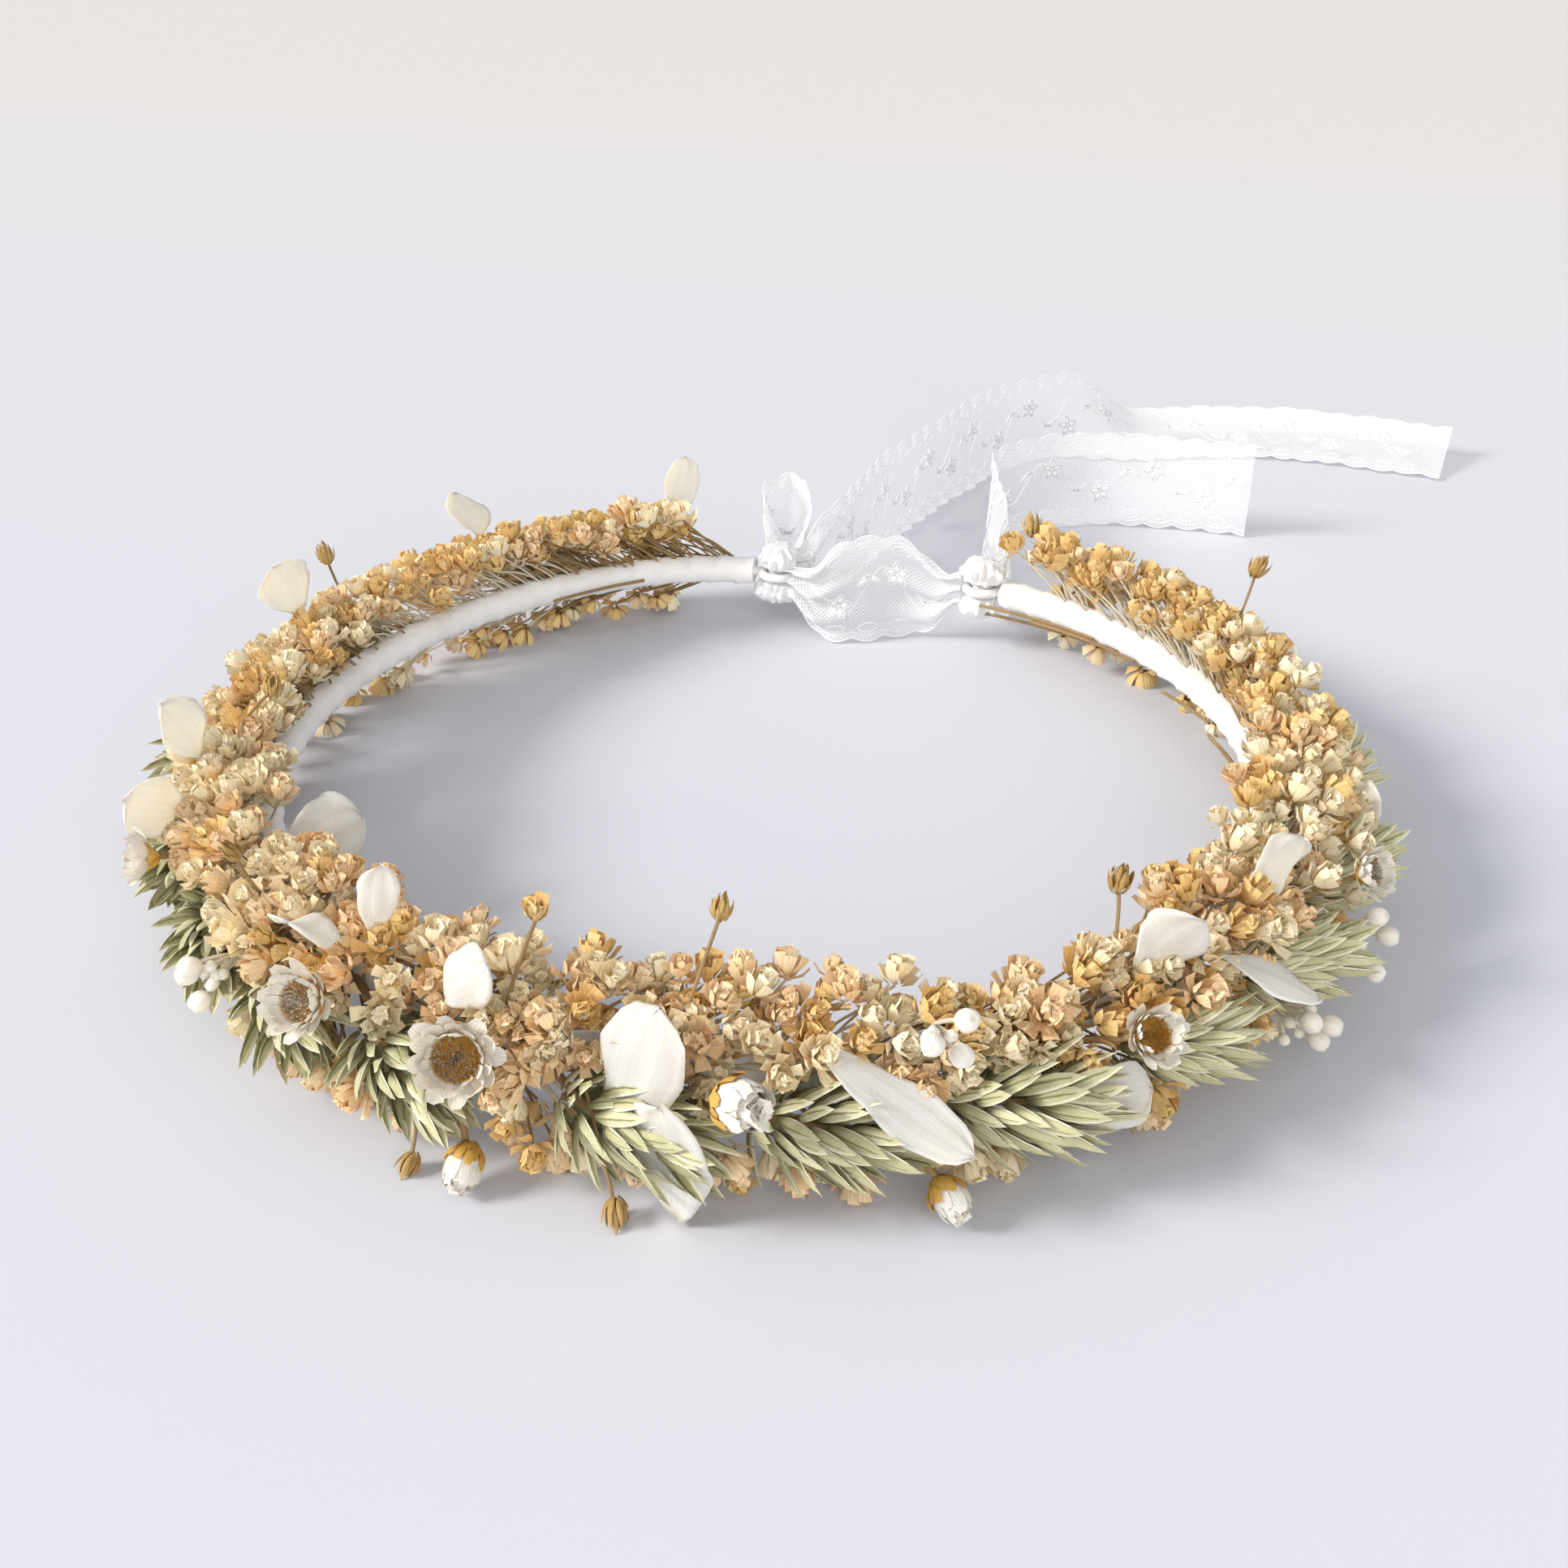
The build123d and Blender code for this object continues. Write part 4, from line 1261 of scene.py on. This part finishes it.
gathered_finish, net, shader = new_material("gathered_lace")
strands = net_pattern(net)
place = net.node("ShaderNodeTexCoord", outlet="Object")
folds = net.node("ShaderNodeTexNoise", i0=place, Scale=420.0, Detail=3.0)
net.feed(shader, "Base Color", net.mix(folds, (0.94, 0.94, 0.94, 1), (0.84, 0.84, 0.86, 1)))
net.feed(shader, "Roughness", net.between(folds, 0.3, 0.7, 0.5, 0.75))
shader.inputs["Sheen Weight"].default_value = 0.3
bump(net, shader, net.math("ADD", strands, folds), 0.5, 0.0002)

wire_finish, net, shader = new_material("painted_wire")
place = net.node("ShaderNodeTexCoord", outlet="Object")
drips = net.node("ShaderNodeTexNoise", i0=place, Scale=700.0, Detail=3.0)
net.feed(shader, "Base Color", net.mix(drips, (0.90, 0.90, 0.89, 1), (0.78, 0.77, 0.75, 1)))
net.feed(shader, "Roughness", net.between(drips, 0.3, 0.7, 0.3, 0.5))
bump(net, shader, drips, 0.3, 0.0001)

for node, finish in (
    ("wire_left", wire_finish), ("wire_right", wire_finish),
    ("bound_stems_left", stem_finish), ("bound_stems_right", stem_finish),
):
    for slot in frame["nodes"][node].material_slots:
        slot.material = finish
print("white finishes", tape_finish.name, net_finish.name, thread_finish.name, wire_finish.name)

# %% [markdown]
# ## Tape and loose stems
# The tape is swept in one go along the whole ring. Thin loose stems lie along it on each half, which
# breaks up the clean white line.

# %% Tape and loose stems
line = ring_line()
start = point_mesh("ring_line", [tuple(p) for p in line], [(i, i + 1) for i in range(len(line) - 1)])
tape = run_tree(tape_tree, start, Radius=2.9 * MM, Pitch=6.5 * MM, Lap=0.45 * MM, Sides=28,
                Spacing=0.7 * MM, Material=tape_finish)
piece("wound_tape", [tape], "left_half", "white_tape", "tape_left", "tape_right")

dice = random.Random(77)
for side, spans in (("left", (-100, -236)), ("right", (-80, 60))):
    lines = []
    for _ in range(16):
        azimuth = dice.uniform(*sorted(spans))
        slope = math.radians(dice.choice((dice.uniform(-40, 110), dice.uniform(150, 250))))
        length = dice.uniform(8, 20)
        lift = dice.uniform(3.4, 4.2)
        line = [
            around(azimuth + length * t, (lift + 1.5 * t) * math.cos(slope),
                   (lift + 1.5 * t) * math.sin(slope))
            for t in (i / 10 for i in range(11))
        ]
        lines.append(line)
    piece(f"loose_stems_{side}", [stalks(lines, 0.38 * MM, stem_finish, taper=0.5)],
          f"{side}_half", "dried_stem")
print("tape triangles", sum(len(p.vertices) - 2 for p in tape.polygons))

# %% [markdown]
# ## The lace ribbon
# The ribbon is a flat strip 25 mm wide, cut to length and then gathered into each knot. A strip
# stands on its edge where it leaves the knot, because the knot holds it, and lies down further
# out. Each strip is made from its line on the table: at every step along the line the strip has a
# tilt, a share of its full width, and pleats that take up the width that is missing, so the cloth
# is never stretched. The same description places the net, the scalloped rim and the embroidery.


# %% Ribbon strips
RIBBON = 25.0     # width of the flat ribbon
SCALLOP = 7.5     # length of one scallop of its rim


class Strip:
    """One length of ribbon. Its line is plan points in mm from an eyelet."""

    def __init__(self, eye, line, tilt, share, sway=0.8, phase=0.0):
        knots = [Vector((eye.x / MM + x, eye.y / MM + y, 0)) for x, y in line]
        knots = [2 * knots[0] - knots[1], *knots, 2 * knots[-1] - knots[-2]]
        self.points = []
        for a, b, c, d in zip(knots, knots[1:], knots[2:], knots[3:]):
            for i in range(24):
                t = i / 24
                self.points.append(
                    0.5 * (2 * b + (c - a) * t + (2 * a - 5 * b + 4 * c - d) * t**2
                           + (3 * b - a - 3 * c + d) * t**3)
                )
        self.points.append(knots[-2])
        self.marks = [0.0]
        for a, b in zip(self.points, self.points[1:]):
            self.marks.append(self.marks[-1] + (b - a).length)
        self.length = self.marks[-1]
        self.tilt, self.share, self.sway, self.phase = tilt, share, sway, phase

    def at(self, s):
        s = max(0.0, min(self.length, s))
        i = next((k for k in range(1, len(self.marks)) if self.marks[k] >= s), len(self.marks) - 1)
        t = (s - self.marks[i - 1]) / max(1e-6, self.marks[i] - self.marks[i - 1])
        point = self.points[i - 1].lerp(self.points[i], t)
        low, high = max(0, i - 4), min(len(self.points) - 1, i + 3)
        return point, (self.points[high] - self.points[low]).normalized()

    def spot(self, s, v, rise=0.0):
        """The point s mm along, v across from 0 at the lower rim to 1, and rise mm off the cloth."""
        point, along = self.at(s)
        tilt, share = self.tilt(s, self.length), self.share(s, self.length)
        side = Vector((-along.y, along.x, 0))
        up = Vector((0, 0, 1)) * math.cos(tilt) + side * math.sin(tilt)
        normal = side * math.cos(tilt) - Vector((0, 0, 1)) * math.sin(tilt)
        pleat = RIBBON * math.sqrt(max(0.0, 1 - share**2)) / 12
        wave = pleat * math.sin(6 * math.pi * v + self.phase)
        wave += self.sway * share * math.sin(s / 9 + self.phase) * (v - 0.35) * math.cos(tilt) ** 2
        wave += 0.35 * self.sway * math.sin(s / 3.7 + 4 * v + self.phase) * share
        full = 0.5 * RIBBON * share
        knot_level = ring_height / MM
        resting = full * abs(math.cos(tilt)) + 0.4 + 0.7 * (math.sin(tilt) ** 2)
        height = resting + (knot_level - resting) * max(0.0, (1 - share) / 0.7) ** 1.5 * (share < 0.999)
        lifted = max(0.0, wave) * abs(math.sin(tilt))
        flat_wave = wave * abs(math.cos(tilt))
        centre = Vector((point.x, point.y, height))
        spot = centre + up * (v - 0.5) * 2 * full + side * flat_wave + Vector((0, 0, lifted))
        spot = spot + normal * rise
        return Vector((spot.x, spot.y, max(0.25, spot.z))) * MM

    def rim(self, s, depth=1.1, pitch=SCALLOP):
        """How far each scalloped rim stands in from the full width, as a share of it."""
        return depth * (1 - abs(math.sin(math.pi * s / pitch))) / RIBBON


def net_mesh(name, strip, columns=18):
    rows = round(strip.length / 0.8)

    def place(u, v):
        s = v * strip.length
        inset = strip.rim(s)
        return tuple(strip.spot(s, inset + u * (1 - 2 * inset)))

    mesh = grid_mesh(name, rows, columns, place)
    for entry in mesh.uv_layers["UVMap"].data:
        entry.uv = (entry.uv[0] * RIBBON * MM, entry.uv[1] * strip.length * MM)
    mesh.materials.append(net_finish)
    return mesh


def embroidery(strip, start=12.0):
    """The rim's cord, a wandering vine, and a five-petalled motif every few steps, as satin thread."""
    steps = round(strip.length / 0.9)
    lines = []
    for rim in (0, 1):
        for gap in (0.0, 0.055):
            line = []
            for i in range(steps + 1):
                s = strip.length * i / steps
                inset = strip.rim(s) + gap
                line.append(strip.spot(s, inset if rim == 0 else 1 - inset, 0.12))
            lines.append(line)
    for scallop in range(int(strip.length / SCALLOP)):
        centre = (scallop + 0.5) * SCALLOP
        for rim in (0.135, 0.865):
            ring = [(centre + 2.2 * math.cos(t), rim + 1.15 * math.sin(t) / RIBBON)
                    for t in (k * math.pi / 6 for k in range(13))]
            lines.append([strip.spot(a, b, 0.1) for a, b in ring])
    vine = []
    for i in range(steps + 1):
        s = strip.length * i / steps
        vine.append(strip.spot(s, 0.5 + 0.2 * math.sin(2 * math.pi * s / 18), 0.15))
    lines.append(vine)
    filled = bmesh.new()

    def leaf(s, v, angle, length, width):
        """A filled, slightly domed leaf or petal stitched on the cloth."""
        ca, sa = math.cos(angle), math.sin(angle)
        outline = []
        for k in range(10):
            t = k / 10 * 2 * math.pi
            x, y = length * 0.5 * (1 - math.cos(t)), width * 0.5 * math.sin(t) * (0.7 + 0.3 * math.cos(t))
            outline.append((s + x * ca - y * sa, v + (x * sa + y * ca) / RIBBON))
        middle_spot = (s + 0.5 * length * ca, v + 0.5 * length * sa / RIBBON)
        ring = [filled.verts.new(strip.spot(a, min(0.97, max(0.03, b)))) for a, b in outline]
        top = filled.verts.new(strip.spot(*middle_spot, 0.3))
        under = filled.verts.new(strip.spot(*middle_spot, -0.3))
        for a, b in zip(ring, ring[1:] + ring[:1]):
            filled.faces.new((a, b, top))
            filled.faces.new((b, a, under))
        lines.append([strip.spot(a, min(0.97, max(0.03, b))) for a, b in outline + outline[:1]])

    s, row = start, 0
    while s < strip.length - 6:
        v = 0.5 + (0.13 if row % 2 else -0.13)
        for k in range(5):
            leaf(s, v, 2 * math.pi * k / 5 + 0.3 * row, 3.0, 2.6)
        for k, turn in enumerate((0.6, 2.4)):
            leaf(s + 7, 1.0 - v, turn * (1 if row % 2 else -1), 3.6, 1.5)
        s, row = s + 13.5, row + 1
    bmesh.ops.recalc_face_normals(filled, faces=filled.faces)
    mesh = bpy.data.meshes.new("leaves")
    filled.to_mesh(mesh)
    filled.free()
    mesh.materials.append(thread_finish)
    return [stalks(lines, 0.17 * MM, thread_finish, taper=1.0), mesh]


def standing(s, length):
    return 0.06 * math.sin(s / 11)


def gathered_at_foot(s, length):
    return 1 - 0.66 * math.exp(-((s / 9) ** 2))


def gathered_both(s, length):
    return 1 - 0.66 * (math.exp(-((s / 8) ** 2)) + math.exp(-(((length - s) / 8) ** 2)))


def lies_down_after(turn, reach):
    def tilt(s, length):
        t = max(0.0, min(1.0, (s - turn + reach / 2) / reach))
        return 1.25 * (3 * t**2 - 2 * t**3)
    return tilt


def knot_side(angle, reach=4.8):
    return (reach * math.cos(math.radians(angle)), reach * math.sin(math.radians(angle)))


bridge_span = (right_eye - left_eye) / MM
strips = {
    "loop": Strip(left_eye, [knot_side(118), (-5.7, 14.7), (-11.2, 26.7), (-7.7, 34.7), (-1.2, 29.7),
                             (2.8, 16.7), knot_side(86)], standing, gathered_both, phase=0.7),
    "left_tail": Strip(left_eye, [knot_side(56), (8.3, 21.7), (11.3, 52.7), (17.3, 82.7),
                                  (27.3, 117.7), (37.3, 134.7), (51.3, 144.7), (77.3, 158.7),
                                  (109.3, 166.7), (152.3, 161.7)],
                       lies_down_after(156, 34), gathered_at_foot, phase=2.0),
    "right_tail": Strip(right_eye, [knot_side(80), (2.8, 16.9), (-1.2, 30.9), (-7.0, 46.9),
                                    (-8.8, 61.9), (0.5, 75.5), (21.8, 83.9), (53.8, 84.9)],
                        standing, gathered_at_foot, phase=1.1),
    "bridge": Strip(left_eye, [knot_side(-35)]
                    + [(bridge_span.x * t, bridge_span.y * t + sag)
                       for t, sag in ((0.24, -5.9), (0.44, -3.4), (0.65, 0.6))]
                    + [(bridge_span.x + knot_side(185)[0], bridge_span.y + knot_side(185)[1])],
                    standing, gathered_both, sway=0.5, phase=0.2),
}
for name, strip in strips.items():
    print(name, round(strip.length, 1), "mm")

# %% [markdown]
# ## Knots
# A knot pulls the ribbon into deep folds round the wire loop. It is a turned outline whose radius is
# rippled round and along. A strip tied by simulation could be looser and less regular, but it hangs on
# how it is threaded and drawn tight, so the simpler shape is used.


# %% Knots
def knot_mesh(eye, seed):
    """A neck of pleated cloth through the eyelet, a puffed lump above and below it, and a wrap."""
    dice = random.Random(seed)
    # half the gap between the lumps, the neck's and the lumps' radius, and a lump's height, in mm
    seat, neck, reach, height = 1.35, 2.15, 4.5, 5.5
    outline = [
        (-seat - height, 0.05), (-seat - 0.97 * height, 0.55 * reach), (-seat - 0.6 * height, reach),
        (-seat - 0.1 * height, 0.85 * reach), (-seat, neck * 1.1), (0, neck), (seat, neck * 1.1),
        (seat + 0.1 * height, 0.85 * reach), (seat + 0.6 * height, reach),
        (seat + 0.95 * height, 0.6 * reach), (seat + height, 0.05),
    ]
    phase = dice.uniform(0, 6.28)

    def place(u, v):
        t = v * (len(outline) - 1)
        i = min(int(t), len(outline) - 2)
        share = 0.5 - 0.5 * math.cos(math.pi * (t - i))
        h = outline[i][0] * (1 - share) + outline[i + 1][0] * share
        r = outline[i][1] * (1 - share) + outline[i + 1][1] * share
        a = 2 * math.pi * u
        fold = 0.15 * math.sin(8 * a + 0.6 * h + phase) + 0.09 * math.sin(13 * a - 0.8 * h)
        fold += 0.18 * math.sin(2 * a + 0.3 * h + 2 * phase)
        loose = 1 + fold * min(1.0, abs(h) / 3)
        return (
            eye.x + r * loose * math.cos(a) * MM, eye.y + r * loose * math.sin(a) * MM, eye.z + h * MM
        )

    mesh = grid_mesh("knot", 44, 96, place)
    for entry in mesh.uv_layers["UVMap"].data:
        entry.uv = (entry.uv[0] * 28 * MM, entry.uv[1] * 26 * MM)
    mesh.materials.append(gathered_finish)
    return closed_up(mesh, 0.02 * MM)


# %% [markdown]
# ## Ribbon pieces
# Each strip is two pieces, the sheer net and the thread on it. The loop and the tails ride on the
# bodies that swing at the knots, and the strip across the gap is left where it lies, on no body.


# %% Ribbon pieces
def ribbon_piece(name, strip, place_on, nodes):
    sheet = bpy.data.objects.new(name, net_mesh(name, strip))
    thread = bpy.data.objects.new(f"{name}_embroidery", joined(name, embroidery(strip)))
    for made in (sheet, thread):
        bpy.context.collection.objects.link(made)
        place_on(made)
    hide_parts(*nodes)
    return sheet


def on(body):
    return lambda made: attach(made, body)


def across_the_gap(made):
    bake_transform(made)


for side, eye in (("left", left_eye), ("right", right_eye)):
    piece(f"gathered_knot_{side}", [knot_mesh(eye, len(side))], f"{side}_tie",
                        "lace_ribbon", f"{side}_knot")
ribbon_piece("lace_loop", strips["loop"], on("left_tie"), ["ribbon_loop_left"])
ribbon_piece("lace_tail_left", strips["left_tail"], on("left_tie"),
             ["ribbon_tail_left", "ribbon_tail_left_end"])
ribbon_piece("lace_tail_right", strips["right_tail"], on("right_tie"),
             ["ribbon_tail_right"])
ribbon_piece("lace_bridge", strips["bridge"], across_the_gap, ["ribbon_bridge"])
for name in ("lace_loop", "lace_tail_left", "lace_tail_right", "lace_bridge"):
    print(name, "thread faces", len(bpy.data.objects[f"{name}_embroidery"].data.polygons))

# %% [markdown]
# ## Finish
# The petal templates were only ever copied from, so they go. Then the triangles are counted and
# printed, and any large piece is named.

# %% Tidy up, sizes and finish
for made in list(templates.objects):
    bpy.data.objects.remove(made)
bpy.data.collections.remove(templates)

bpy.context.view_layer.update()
triangles = 0
for made in bpy.context.scene.objects:
    if made.type == "MESH" and not made.hide_render:
        count = sum(len(p.vertices) - 2 for p in made.data.polygons)
        triangles += count
        if count > 60000:
            print("large piece", made.name, count)
print("triangles in all", triangles)
